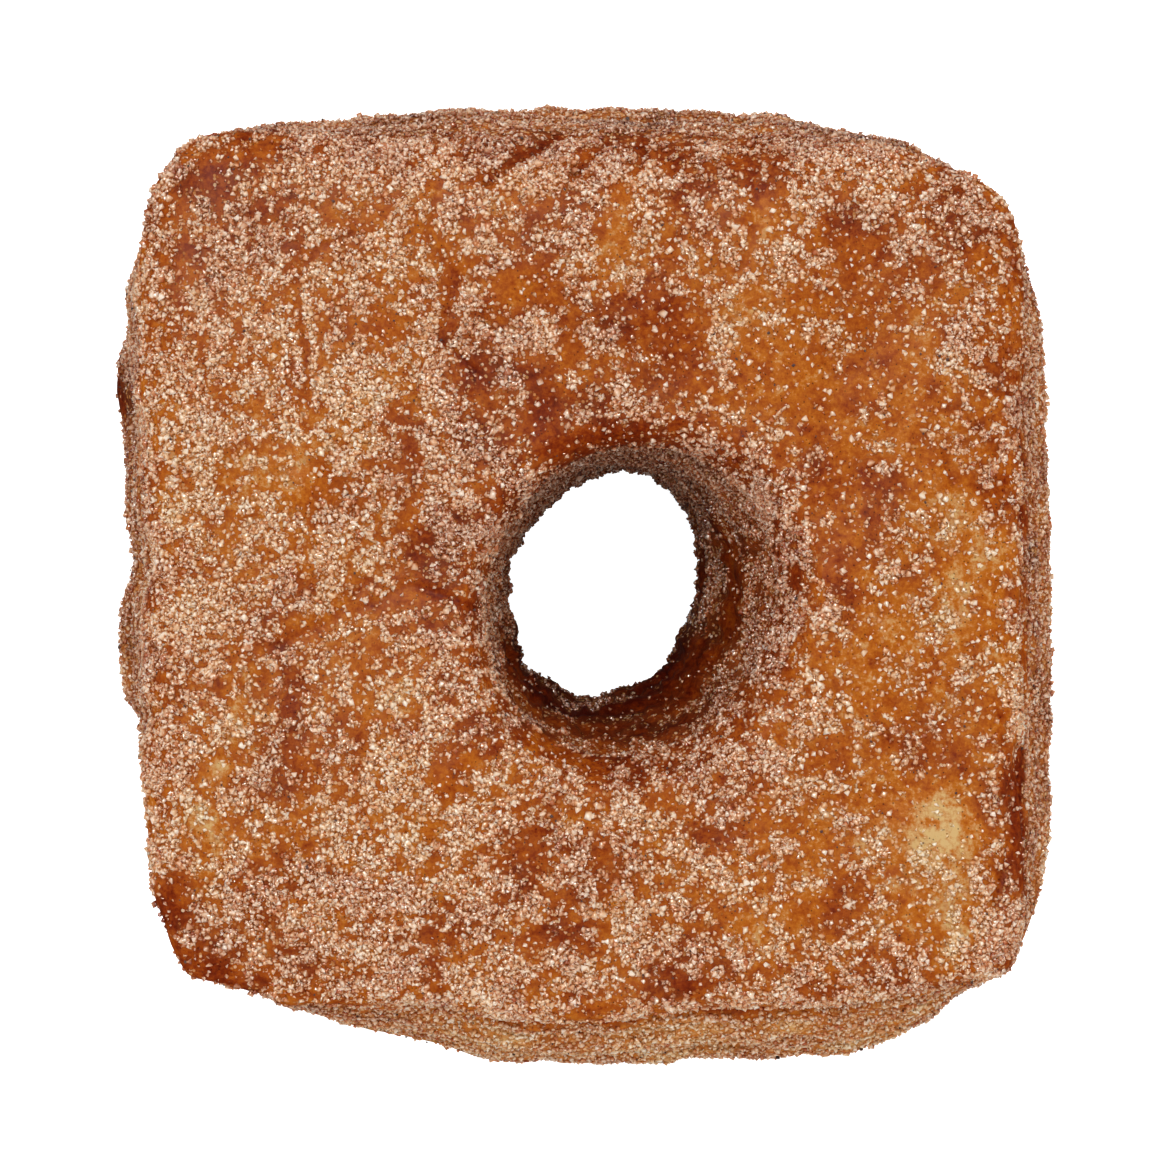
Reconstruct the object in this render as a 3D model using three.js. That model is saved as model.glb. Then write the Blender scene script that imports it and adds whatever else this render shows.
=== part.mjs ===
// A square croissant doughnut: laminated dough cut square with a round hole, proved, fried and
// rolled in cinnamon sugar. It lies on its flat underside.
// Millimetres, +Z up. East is +X, north is +Y. The origin is under the middle of its box, on the
// surface that it rests on.
//
// The solid is one ring-shaped skin. Its columns run round the hole, and its rows follow one cross
// section: over the top, down the layered side, along the underside and up the wall of the hole.

import * as THREE from "three";

// Levels above the surface that it rests on
const HEIGHT = 41.4; // flat part of the top face
const LIP_LEVEL = 38.1; // foot of the rounded top edge
const LAYERS_TOP = 37.0; // groove under the top skin, where the layers begin
const LAYERS_FOOT = 4.4; // groove over the bottom skin, where they end
const FOOT_LEVEL = 3.3; // where the bottom edge begins to round under
const RIM_LEVEL = 36.4; // where the rounded rim of the hole turns into its wall
const WAIST_LEVEL = 15.0; // narrowest place of the hole

// Outlines seen from above, of the skin on top and of the swollen belly. Half widths, squareness of
// each corner from north-east round by north-west (2 is an ellipse, more is squarer), and places
// where the outline is pulled out or pressed in
const SKIN = {
  half: { east: 43.8, north: 44.2, west: 42.9, south: 41.6 },
  squareness: [7.2, 12.0, 6.8, 9.0],
  pulls: [
    { bearingDeg: 268, spreadDeg: 17, out: 1.3 },
    { bearingDeg: 37, spreadDeg: 7, out: 0.9 },
    { bearingDeg: 53, spreadDeg: 8, out: -1.0 },
    { bearingDeg: 131, spreadDeg: 8, out: 0.6 },
    { bearingDeg: 232, spreadDeg: 9, out: -0.6 },
    { bearingDeg: 221, spreadDeg: 5, out: 0.2 },
    { bearingDeg: 212, spreadDeg: 7, out: -0.5 },
    { bearingDeg: 308, spreadDeg: 7, out: -0.9 },
    { bearingDeg: 321, spreadDeg: 8, out: 0.8 },
  ],
};
const BELLY = {
  half: { east: 47.2, north: 47.1, west: 44.9, south: 47.9 },
  squareness: [3.9, 4.4, 2.5, 3.9],
  pulls: [
    { bearingDeg: 249, spreadDeg: 8, out: -0.6 },
    { bearingDeg: 222, spreadDeg: 9, out: 2.8 },
    { bearingDeg: 205, spreadDeg: 9, out: -1.0 },
    { bearingDeg: 54, spreadDeg: 9, out: -1.0 },
    { bearingDeg: 115, spreadDeg: 9, out: -0.6 },
    { bearingDeg: 132, spreadDeg: 8, out: 1.5 },
    { bearingDeg: 328, spreadDeg: 9, out: 1.2 },
  ],
};
const FOOT_INSET = 1.6; // how far the skin underneath stays inside the one on top

// Rounding of the top edge, seen from above, towards east, north, west and south
const EDGE_ROUND = [3.2, 6.5, 3.0, 2.3];
const BOTTOM_ROUND = 3.4;

// The hole: ovals at its rim, at its waist and at the underside, with their pulls
const RIM_OVAL = { x: 5.2, y: -1.7, long: 15.4, short: 14.0, turnDeg: 65, pulls: [] };
const WAIST_OVAL = {
  x: 2.5,
  y: 0,
  long: 11.4,
  short: 9.2,
  turnDeg: 65,
  pulls: [
    { bearingDeg: 205, spreadDeg: 16, out: -0.6 },
    { bearingDeg: 122, spreadDeg: 18, out: -0.6 },
    { bearingDeg: 302, spreadDeg: 12, out: 0.5 },
    { bearingDeg: 243, spreadDeg: 12, out: -0.5 },
  ],
};
const FOOT_OVAL = { x: 1.8, y: 0.6, long: 14.6, short: 12.9, turnDeg: 65, pulls: [] };
const RIM_ROUND = [4.5, 2.8, 2.2, 3.6]; // towards east, north, west and south
const HOLE_BOTTOM_ROUND = 2.8;

// Layers that show on the sides
const SIDE_LAYERS = 8;
const GROOVE_DEPTH = 1.25;
const LIP_GROOVE = [1.1, 0.4, 0.9, 1.3]; // under the top skin, towards east, north, west, south
const LAYER_SHIFT = 0.75; // how far one layer stands out past another
const SHIFT_CHANGE = 2.2; // how much the waves of that shift turn from one layer to the next
const LAYER_WAVE = 1.1; // how far a layer rises and dips on its way round
const WAVE_CHANGE = 0.3;
const MIDDLE_SWELL = 0.055; // the layers at half height are thicker than those near the skins
const BELLY_FULLNESS = 0.8; // below 1, the belly swells out sooner under the skin

// Layers that show in the hole
const WALL_LAYERS = 6;
const WALL_GROOVE = 0.45;
const WALL_WAVE = 0.35;
const WALL_CHANGE = 3;

// Blisters on the side: bearing from east, level, half length along the side, half height, and
// how far they stand proud
const SIDE_BLISTERS = [
  { bearingDeg: 157.6, level: 20, length: 4.6, height: 4.0, proud: 1.3 },
  { bearingDeg: 184.6, level: 17, length: 2.8, height: 3.4, proud: 0.8 },
  { bearingDeg: 193.4, level: 22, length: 1.6, height: 2.4, proud: 1.2 },
  { bearingDeg: 139.2, level: 24, length: 1.8, height: 3.0, proud: 0.9 },
  { bearingDeg: 214.4, level: 27, length: 2.6, height: 3.4, proud: 1.3 },
  { bearingDeg: 322.0, level: 12, length: 4.0, height: 4.0, proud: 0.9 },
  { bearingDeg: 96.0, level: 14, length: 5.0, height: 4.0, proud: 0.5 },
];

// Low blisters of the top skin: middle, half length, half width, turn, and rise, where a dent is
// a rise below zero
const TOP_BLISTERS = [
  { x: -27.3, y: 9.6, long: 4.2, wide: 3.2, turnDeg: 10, rise: 0.5 },
  { x: -12.6, y: -18.6, long: 4.0, wide: 3.0, turnDeg: 60, rise: 0.55 },
  { x: 6.8, y: 27.0, long: 5.5, wide: 4.5, turnDeg: 30, rise: 0.6 },
  { x: -4.5, y: 33.0, long: 8.0, wide: 6.5, turnDeg: 80, rise: 0.55 },
  { x: -17.0, y: 2.5, long: 6.0, wide: 4.0, turnDeg: -35, rise: -0.5 },
  { x: 26.0, y: 9.5, long: 6.5, wide: 4.5, turnDeg: 60, rise: -0.45 },
  { x: 36.0, y: -26.0, long: 6.5, wide: 5.0, turnDeg: 75, rise: 0.5 },
  { x: -6.0, y: -28.0, long: 6.0, wide: 4.5, turnDeg: -60, rise: -0.4 },
  { x: 29.0, y: 24.0, long: 7.0, wide: 5.0, turnDeg: 20, rise: -0.4 },
  { x: -31.0, y: -26.0, long: 6.5, wide: 5.0, turnDeg: 50, rise: 0.45 },
];

// Slow unevenness of the top skin: wavelength, bearing of the wave and height
const TOP_SWELLS = [
  { wavelength: 61, bearingDeg: 24, height: 0.32 },
  { wavelength: 43, bearingDeg: 118, height: 0.22 },
  { wavelength: 29, bearingDeg: 71, height: 0.16 },
  { wavelength: 19, bearingDeg: 160, height: 0.12 },
  { wavelength: 13, bearingDeg: 12, height: 0.08 },
];
const CROWN = 0.9; // how far the top skin sinks from its middle ring to its edge

// Columns of the mesh round the hole, and its rows on each stretch of the cross section
const COLUMNS = 98;
const CORNER_CROWDING = 0.1; // draws columns towards the corners, where the outline bends
const ROWS = { edge: 4, top: 8, rim: 3, wall: 12, holeBottom: 2, underside: 2, bottomEdge: 3 };
// Rows on a layer, from its lower shoulder to the groove above it: 1 would be the groove below
const LAYER_ROWS = [0.7, 0.3, 0];

const COLOUR = new THREE.Color("#b5793f");

const GOLDEN = (Math.sqrt(5) - 1) / 2;
const radians = THREE.MathUtils.degToRad;
const lerp = THREE.MathUtils.lerp;
const smoothstep = THREE.MathUtils.smoothstep;

// A fixed phase for the n-th wave, so that no two waves start together
const phase = (n) => 2 * Math.PI * ((n * GOLDEN) % 1);

// Blends four values that hold at the bearings start, start + 90, and so on
function around(values, bearing, startDeg) {
  const turn = bearing - radians(startDeg);
  return values.reduce((sum, value, i) => {
    const facing = Math.max(0, Math.cos(turn - (i * Math.PI) / 2));
    return sum + value * facing ** 2;
  }, 0);
}

// Difference of two bearings, between minus and plus half a turn
const apart = (bearing, deg) => {
  const turn = bearing - radians(deg);
  return Math.atan2(Math.sin(turn), Math.cos(turn));
};

// How far a list of pulls moves an outline outwards at a bearing
function pulled(pulls, bearing) {
  return pulls.reduce((sum, pull) => {
    const away = apart(bearing, pull.bearingDeg) / radians(pull.spreadDeg);
    return sum + pull.out * Math.exp(-(away ** 2));
  }, 0);
}

// Distance from the middle to an outline at a bearing
function outlineRadius({ half, squareness, pulls }, bearing) {
  const c = Math.cos(bearing);
  const s = Math.sin(bearing);
  const n = around(squareness, bearing, 45);
  const across = Math.abs(c) / (c >= 0 ? half.east : half.west);
  const along = Math.abs(s) / (s >= 0 ? half.north : half.south);
  return (across ** n + along ** n) ** (-1 / n) + pulled(pulls, bearing);
}

// Point of an oval at a bearing from its middle
function ovalPoint(oval, bearing) {
  const turned = bearing - radians(oval.turnDeg);
  const even = 1 / Math.hypot(Math.cos(turned) / oval.long, Math.sin(turned) / oval.short);
  const r = even + pulled(oval.pulls, bearing);
  return new THREE.Vector2(oval.x + r * Math.cos(bearing), oval.y + r * Math.sin(bearing));
}

// Round-topped layers with narrow grooves: 0 on a layer's crest, -1 in a groove
const layerRelief = (layer) => Math.sqrt(Math.abs(Math.sin(Math.PI * layer))) - 1;

// Slow waves round the doughnut, between about -1 and 1, whose phases turn with a change
function drift(bearing, change, seed) {
  return (
    0.5 * Math.sin(2 * bearing + 1.1 * change + phase(seed)) +
    0.35 * Math.sin(5 * bearing - 1.9 * change + phase(seed + 1)) +
    0.25 * Math.sin(9 * bearing + 2.6 * change + phase(seed + 2))
  );
}

// The number of a layer, the same all over it, which turns to the next in the groove below
function settled(layer) {
  const whole = Math.floor(layer);
  return whole + smoothstep(layer - whole, 0.8, 1);
}

// Level of a place on the side, counted in layers from the top edge
function sideLevel(layer, bearing) {
  const share = layer / SIDE_LAYERS;
  const eased = share - MIDDLE_SWELL * Math.sin(2 * Math.PI * share);
  const wave = LAYER_WAVE * Math.sin(Math.PI * share) * drift(bearing, WAVE_CHANGE * layer, 1);
  return lerp(LAYERS_TOP, LAYERS_FOOT, eased) + wave;
}

// How far the blisters push the side out
function sideBlisters(bearing, level) {
  return SIDE_BLISTERS.reduce((sum, b) => {
    const away = apart(bearing, b.bearingDeg) * BELLY.half.east;
    return sum + b.proud * Math.exp(-((away / b.length) ** 2) - ((level - b.level) / b.height) ** 2);
  }, 0);
}

// Distance from the middle to the side
function sideRadius(layer, bearing) {
  const share = layer / SIDE_LAYERS;
  const straight = outlineRadius(SKIN, bearing) - FOOT_INSET * share;
  const belly = outlineRadius(BELLY, bearing);
  const inMiddle = Math.sin(Math.PI * share);
  const shift = LAYER_SHIFT * inMiddle * drift(bearing, SHIFT_CHANGE * settled(layer), 4);
  const depth = lerp(around(LIP_GROOVE, bearing, 0), GROOVE_DEPTH, Math.min(layer, 1));
  const blister = sideBlisters(bearing, sideLevel(layer, bearing));
  const even = lerp(straight, belly, Math.max(0, inMiddle) ** BELLY_FULLNESS);
  return even + shift + depth * layerRelief(layer) + blister;
}

const polar = (r, bearing) => new THREE.Vector2(r * Math.cos(bearing), r * Math.sin(bearing));
const raised = (flat, level) => new THREE.Vector3(flat.x, flat.y, level);

// The wall of the hole at a share of the way down, from 0 at the rim to 1 at its lower edge
function wallPoint(share, bearing) {
  const level = lerp(RIM_LEVEL, HOLE_BOTTOM_ROUND, share);
  const waistShare = (RIM_LEVEL - WAIST_LEVEL) / (RIM_LEVEL - HOLE_BOTTOM_ROUND);
  const rim = ovalPoint(RIM_OVAL, bearing);
  const waist = ovalPoint(WAIST_OVAL, bearing);
  const foot = ovalPoint(FOOT_OVAL, bearing);
  const place =
    share < waistShare
      ? rim.lerp(waist, Math.sin((Math.PI / 2) * (share / waistShare)))
      : waist.lerp(foot, 1 - Math.cos((Math.PI / 2) * ((share - waistShare) / (1 - waistShare))));
  const relief = -layerRelief(WALL_LAYERS * share) * WALL_GROOVE * Math.sin(Math.PI * share);
  const wave = WALL_WAVE * Math.sin(Math.PI * share) * drift(bearing, WALL_CHANGE * share, 7);
  return raised(place.add(polar(relief + wave, bearing)), level);
}

// Height of the top skin over a place, before its edges round off
function topLevel(x, y) {
  const swell = TOP_SWELLS.reduce((sum, w, i) => {
    const run = x * Math.cos(radians(w.bearingDeg)) + y * Math.sin(radians(w.bearingDeg));
    return sum + w.height * Math.sin((2 * Math.PI * run) / w.wavelength + phase(i + 11));
  }, 0);
  const blister = TOP_BLISTERS.reduce((sum, b) => {
    const turn = radians(b.turnDeg);
    const u = (x - b.x) * Math.cos(turn) + (y - b.y) * Math.sin(turn);
    const v = (y - b.y) * Math.cos(turn) - (x - b.x) * Math.sin(turn);
    return sum + b.rise * Math.exp(-((u / b.long) ** 2) - (v / b.wide) ** 2);
  }, 0);
  const outward = (x / SKIN.half.east) ** 4 + (y / SKIN.half.north) ** 4;
  return HEIGHT + swell + blister - CROWN * outward;
}

// A run of the top face at one bearing, from the outer edge to the rim of the hole
function topRun(bearing) {
  const outer = polar(outlineRadius(SKIN, bearing), bearing);
  const inner = ovalPoint(RIM_OVAL, bearing);
  const inward = inner.clone().sub(outer);
  const length = inward.length();
  return { outer, inner, inward: inward.divideScalar(length), length };
}

// One point of a quarter round, from share 0 on its upright side to 1 on its flat side
function roundPoint(start, inward, width, drop, share) {
  const angle = (Math.PI / 2) * share;
  const flat = start.clone().addScaledVector(inward, width * (1 - Math.cos(angle)));
  const level = topLevel(flat.x, flat.y) - drop * (1 - Math.sin(angle));
  return raised(flat, level);
}

// The whole cross section at one bearing, from the foot of the top edge over the top, down the
// hole, along the underside and up the layers
function crossSection(bearing) {
  const points = [];
  const run = topRun(bearing);
  const edgeWidth = around(EDGE_ROUND, bearing, 0);
  const rimWidth = around(RIM_ROUND, bearing, 0);
  const outward = run.inward.clone().negate();
  const edgeDrop = topLevel(run.outer.x, run.outer.y) - LIP_LEVEL;
  const rimDrop = topLevel(run.inner.x, run.inner.y) - RIM_LEVEL;

  for (let i = 0; i < ROWS.edge; i++)
    points.push(roundPoint(run.outer, run.inward, edgeWidth, edgeDrop, i / ROWS.edge));
  for (let i = 0; i <= ROWS.top; i++) {
    const along = lerp(edgeWidth, run.length - rimWidth, i / ROWS.top);
    const flat = run.outer.clone().addScaledVector(run.inward, along);
    points.push(raised(flat, topLevel(flat.x, flat.y)));
  }
  for (let i = ROWS.rim; i >= 1; i--)
    points.push(roundPoint(run.inner, outward, rimWidth, rimDrop, i / (ROWS.rim + 1)));
  for (let i = 0; i <= ROWS.wall; i++) points.push(wallPoint(i / ROWS.wall, bearing));

  const holeFoot = ovalPoint(FOOT_OVAL, bearing);
  const sideFoot = polar(outlineRadius(SKIN, bearing) - FOOT_INSET, bearing);
  const across = sideFoot.clone().sub(holeFoot);
  const width = across.length();
  across.divideScalar(width);
  for (let i = 1; i < ROWS.holeBottom; i++) {
    const angle = (Math.PI / 2) * (i / ROWS.holeBottom);
    const out = HOLE_BOTTOM_ROUND * (1 - Math.cos(angle));
    const level = HOLE_BOTTOM_ROUND * (1 - Math.sin(angle));
    points.push(raised(holeFoot.clone().addScaledVector(across, out), level));
  }
  for (let i = 0; i <= ROWS.underside; i++) {
    const along = lerp(HOLE_BOTTOM_ROUND, width - BOTTOM_ROUND, i / ROWS.underside);
    points.push(raised(holeFoot.clone().addScaledVector(across, along), 0));
  }
  for (let i = 1; i <= ROWS.bottomEdge; i++) {
    const angle = (Math.PI / 2) * (i / ROWS.bottomEdge);
    const back = BOTTOM_ROUND * (1 - Math.sin(angle));
    const level = FOOT_LEVEL * (1 - Math.cos(angle));
    points.push(raised(sideFoot.clone().addScaledVector(across, -back), level));
  }

  const places = [SIDE_LAYERS];
  for (let layer = SIDE_LAYERS - 1; layer >= 0; layer--)
    for (const row of LAYER_ROWS) places.push(layer + row);
  for (const place of places)
    points.push(raised(polar(sideRadius(place, bearing), bearing), sideLevel(place, bearing)));
  return points;
}

// Joins the cross sections into one closed ring
function ringGeometry() {
  const positions = [];
  let rows = 0;
  for (let column = 0; column < COLUMNS; column++) {
    const even = (2 * Math.PI * column) / COLUMNS;
    const section = crossSection(even + CORNER_CROWDING * Math.sin(4 * even));
    rows = section.length;
    for (const point of section) positions.push(point.x, point.y, point.z);
  }
  const index = [];
  for (let column = 0; column < COLUMNS; column++)
    for (let row = 0; row < rows; row++) {
      const here = column * rows;
      const next = ((column + 1) % COLUMNS) * rows;
      const after = (row + 1) % rows;
      index.push(here + row, next + row, next + after, here + row, next + after, here + after);
    }
  const geometry = new THREE.BufferGeometry();
  geometry.setAttribute("position", new THREE.Float32BufferAttribute(positions, 3));
  geometry.setIndex(index);
  return geometry;
}

// Centres the box over the origin and keeps the underside on the ground
function centred(geometry) {
  geometry.computeBoundingBox();
  const middle = geometry.boundingBox.getCenter(new THREE.Vector3());
  geometry.translate(-middle.x, -middle.y, 0);
  geometry.computeVertexNormals();
  return geometry;
}

function doughnut() {
  const crust = new THREE.MeshStandardMaterial({ color: COLOUR, roughness: 0.6, metalness: 0 });
  const mesh = new THREE.Mesh(centred(ringGeometry()), crust);
  mesh.name = "croissant_doughnut";
  return mesh;
}

const part = new THREE.Group();
part.name = "croissant_doughnut_part";
part.add(doughnut());

export default part;
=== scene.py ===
"""A square croissant doughnut, fried and rolled in cinnamon sugar, seen from straight above.

The dough is one closed skin round the hole. It is built from the same named sizes as the solid it
stands for, with many more rows and columns, so that its layers, creases and flakes can show. The
sugar on it is real mesh: tens of thousands of crystals that are drawn from one map of how thickly
the sugar lies. All lengths in the classes are millimetres, and meshes are made in metres.
"""

import logging
import math
from dataclasses import dataclass, field
from enum import Enum
from typing import Callable, Sequence

import bpy
import numpy as np
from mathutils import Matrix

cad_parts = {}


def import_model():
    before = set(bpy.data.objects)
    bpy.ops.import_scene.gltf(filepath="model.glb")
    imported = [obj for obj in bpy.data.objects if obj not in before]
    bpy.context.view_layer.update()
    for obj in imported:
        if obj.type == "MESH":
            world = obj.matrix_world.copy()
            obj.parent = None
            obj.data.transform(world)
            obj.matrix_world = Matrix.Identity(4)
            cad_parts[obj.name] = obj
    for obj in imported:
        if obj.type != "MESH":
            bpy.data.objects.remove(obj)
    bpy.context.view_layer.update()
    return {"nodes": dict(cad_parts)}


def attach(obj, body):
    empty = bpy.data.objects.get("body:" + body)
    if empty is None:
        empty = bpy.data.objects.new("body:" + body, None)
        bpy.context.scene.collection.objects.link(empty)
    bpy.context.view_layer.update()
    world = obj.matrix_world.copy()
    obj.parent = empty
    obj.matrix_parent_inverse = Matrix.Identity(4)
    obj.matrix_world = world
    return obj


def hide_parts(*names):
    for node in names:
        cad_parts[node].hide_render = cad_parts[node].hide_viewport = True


Array = np.ndarray
MM = 0.001
GOLDEN = (math.sqrt(5) - 1) / 2
HASH_PRIMES = np.array([73856093, 19349663, 83492791])
LOG = logging.getLogger("doughnut")


# Small tools


def lerp(a: Array | float, b: Array | float, t: Array | float) -> Array:
    """Blends from a to b."""
    return np.asarray(a) * (1 - t) + np.asarray(b) * t


def smoothstep(x: Array | float, low: float, high: float) -> Array:
    """Smooth step from 0 at low to 1 at high."""
    t = np.clip((np.asarray(x, float) - low) / (high - low), 0, 1)
    return t * t * (3 - 2 * t)


def phase(n: int) -> float:
    """A fixed phase for the n-th wave, so that no two waves start together."""
    return 2 * math.pi * ((n * GOLDEN) % 1)


def around(values: Sequence[float], bearing: Array, start_deg: float) -> Array:
    """Blends four values that hold at the bearings start, start + 90, and so on.

    Args:
        values: The four values, going anticlockwise.
        bearing: Bearings in radians.
        start_deg: Bearing of the first value.

    Returns:
        The blended value at each bearing.
    """
    turn = bearing - math.radians(start_deg)
    total = np.zeros_like(bearing)
    for i, value in enumerate(values):
        total += value * np.maximum(0, np.cos(turn - i * math.pi / 2)) ** 2
    return total


def apart(bearing: Array, deg: float) -> Array:
    """Difference of bearings from one in degrees, between minus and plus half a turn."""
    turn = bearing - math.radians(deg)
    return np.arctan2(np.sin(turn), np.cos(turn))


def ringed(bearing: Array, cells: float, third: Array) -> Array:
    """Places for a noise that runs round the doughnut and meets itself without a seam.

    Args:
        bearing: Bearings in radians.
        cells: Radius of the ring in cells of the noise.
        third: The third coordinate of each place.

    Returns:
        The places, with the three axes last.
    """
    return np.stack([cells * np.cos(bearing), cells * np.sin(bearing), third], -1)


def linear(hex_colour: str) -> tuple[float, float, float, float]:
    """Turns an sRGB hex colour into the linear colour that Blender's sockets take.

    Args:
        hex_colour: The colour, such as #d2ae74.

    Returns:
        Linear red, green, blue and alpha.
    """
    values = [int(hex_colour[i : i + 2], 16) / 255 for i in (1, 3, 5)]
    red, green, blue = (v / 12.92 if v <= 0.04045 else ((v + 0.055) / 1.055) ** 2.4 for v in values)
    return (red, green, blue, 1.0)


@dataclass(frozen=True)
class LatticeNoise:
    """Smooth random field between about -1 and 1, the same on every run."""

    seed: int
    size: int = 8192

    def at(self, points: Array) -> Array:
        """Samples the field.

        Args:
            points: Positions, in cells of the field, with the three axes last.

        Returns:
            One value for each position.
        """
        table = np.random.default_rng(self.seed).uniform(-1, 1, self.size)
        cell = np.floor(points).astype(np.int64)
        part = points - cell
        part = part * part * part * (part * (part * 6 - 15) + 10)
        keys = [(cell + step) * HASH_PRIMES for step in (0, 1)]

        def corner(i: int, j: int, k: int) -> Array:
            """The field at one corner of each cell."""
            return table[(keys[i][..., 0] ^ keys[j][..., 1] ^ keys[k][..., 2]) % self.size]

        x, y, z = part[..., 0], part[..., 1], part[..., 2]
        layers = []
        for k in (0, 1):
            near = lerp(corner(0, 0, k), corner(1, 0, k), x)
            layers.append(lerp(near, lerp(corner(0, 1, k), corner(1, 1, k), x), y))
        return lerp(layers[0], layers[1], z)

    def rough(self, points: Array, octaves: int) -> Array:
        """Sum of the field at ever finer scales, each half as strong as the one before.

        Args:
            points: Positions, in cells of the field.
            octaves: How many scales.

        Returns:
            One value for each position, between about -1 and 1.
        """
        scales = range(octaves)
        total = sum(self.at(points * 2.03**k + 17.3 * k) * 0.5**k for k in scales)
        return total / sum(0.5**k for k in scales)


@dataclass(frozen=True)
class Clumps:
    """Random clumps: their noise, width in millimetres, amount and octaves of finer ones."""

    noise: LatticeNoise
    wide: float
    amount: float
    octaves: int
    offset: float = 0.0

    def at(self, place: Array) -> Array:
        """The clumps' amount at each place."""
        return self.amount * self.noise.rough(place / self.wide + self.offset, self.octaves)


@dataclass(frozen=True)
class Streaks:
    """Random streaks that run round: noise, cells of it outwards and for each step down, amount."""

    noise: LatticeNoise
    cells: float
    per_step: float
    amount: float
    octaves: int = 3

    def at(self, bearing: Array, steps: Array) -> Array:
        """The streaks' amount at each bearing and number of steps down."""
        where = ringed(bearing, self.cells, steps * self.per_step)
        return self.amount * self.noise.rough(where, self.octaves)


CLUMP_NOISE, FINE_NOISE, TONE_NOISE = LatticeNoise(3), LatticeNoise(5), LatticeNoise(8)
FLAKE_NOISE, SKIN_NOISE = LatticeNoise(21), LatticeNoise(23)


# The shape, with the names and sizes of the part's source


@dataclass(frozen=True)
class Pull:
    """A place where an outline is pulled out, or pressed in where out is below 0."""

    bearing_deg: float
    spread_deg: float
    out: float


def pulled(pulls: Sequence[Pull], bearing: Array) -> Array:
    """How far a list of pulls moves an outline outwards at each bearing.

    Args:
        pulls: The pulls.
        bearing: Bearings in radians.

    Returns:
        Millimetres at each bearing.
    """
    total = np.zeros_like(bearing)
    for pull in pulls:
        total += pull.out * np.exp(-((apart(bearing, pull.bearing_deg) / math.radians(pull.spread_deg)) ** 2))
    return total


@dataclass(frozen=True)
class Outline:
    """A square-ish outline seen from above: half widths, squareness of each corner, pulls."""

    half: tuple[float, float, float, float]
    squareness: tuple[float, float, float, float]
    pulls: tuple[Pull, ...]

    def radius(self, bearing: Array) -> Array:
        """Distance from the middle to the outline at each bearing.

        Args:
            bearing: Bearings in radians.

        Returns:
            The distance at each bearing.
        """
        east, north, west, south = self.half
        c, s = np.cos(bearing), np.sin(bearing)
        n = around(self.squareness, bearing, 45)
        across = np.abs(c) / np.where(c >= 0, east, west)
        along = np.abs(s) / np.where(s >= 0, north, south)
        return (across**n + along**n) ** (-1 / n) + pulled(self.pulls, bearing)


@dataclass(frozen=True)
class Oval:
    """An oval round the hole."""

    x: float
    y: float
    long: float
    short: float
    turn_deg: float = 65
    pulls: tuple[Pull, ...] = ()

    def points(self, bearing: Array) -> Array:
        """Points of the oval at bearings from its middle, as x and y.

        Args:
            bearing: Bearings in radians.

        Returns:
            One point for each bearing.
        """
        turned = bearing - math.radians(self.turn_deg)
        r = 1 / np.hypot(np.cos(turned) / self.long, np.sin(turned) / self.short)
        r = r + pulled(self.pulls, bearing)
        return np.stack([self.x + r * np.cos(bearing), self.y + r * np.sin(bearing)], -1)


@dataclass(frozen=True)
class SideBlister:
    """A blister on the layered side: where it is, how big, and how far it stands proud."""

    bearing_deg: float
    level: float
    length: float
    height: float
    proud: float


@dataclass(frozen=True)
class Patch:
    """A soft oval place on the top face: middle, half length, half width, amount and turn."""

    x: float
    y: float
    long: float
    wide: float
    amount: float
    turn_deg: float = 0

    def at(self, x: Array, y: Array) -> Array:
        """The patch's amount at each place, fading outwards.

        Args:
            x: Distance to the east.
            y: Distance to the north.

        Returns:
            The amount at each place.
        """
        turn = math.radians(self.turn_deg)
        u = (x - self.x) * math.cos(turn) + (y - self.y) * math.sin(turn)
        v = (y - self.y) * math.cos(turn) - (x - self.x) * math.sin(turn)
        return self.amount * np.exp(-((u / self.long) ** 2) - (v / self.wide) ** 2)


@dataclass(frozen=True)
class Spot:
    """A soft place on an upright surface: bearing and level of its middle, half sizes, amount."""

    bearing_deg: float
    level: float
    spread_deg: float
    high: float
    amount: float

    def at(self, bearing: Array, level: Array) -> Array:
        """The spot's amount at each bearing and level, fading outwards."""
        across = apart(bearing, self.bearing_deg) / math.radians(self.spread_deg)
        return self.amount * np.exp(-(across**2) - ((level - self.level) / self.high) ** 2)


def patched(patches: Sequence[Patch | Spot], u: Array, v: Array) -> Array:
    """Sum of patches or spots at each place."""
    return sum((patch.at(u, v) for patch in patches), np.zeros_like(u))


class Zone(Enum):
    """Stretches of the cross section, from the top edge over the top and back round."""

    LIP = 0
    TOP = 1
    RIM = 2
    WALL = 3
    UNDERSIDE = 4
    SIDE = 5


@dataclass(frozen=True)
class RowCounts:
    """How many rows of the mesh each stretch of the cross section gets."""

    edge: int
    top: int
    rim: int
    wall: int
    hole_bottom: int
    underside: int
    bottom_edge: int
    layer: tuple[float, ...]
    under_lip: int = 0


COARSE_ROWS = RowCounts(4, 8, 3, 12, 2, 2, 3, (0.7, 0.3, 0.0))
FINE_ROWS = RowCounts(9, 54, 8, 42, 4, 6, 5, tuple(i / 12 for i in range(11, -1, -1)), 2)
COARSE_COLUMNS = 98
FINE_COLUMNS = 420


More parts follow.
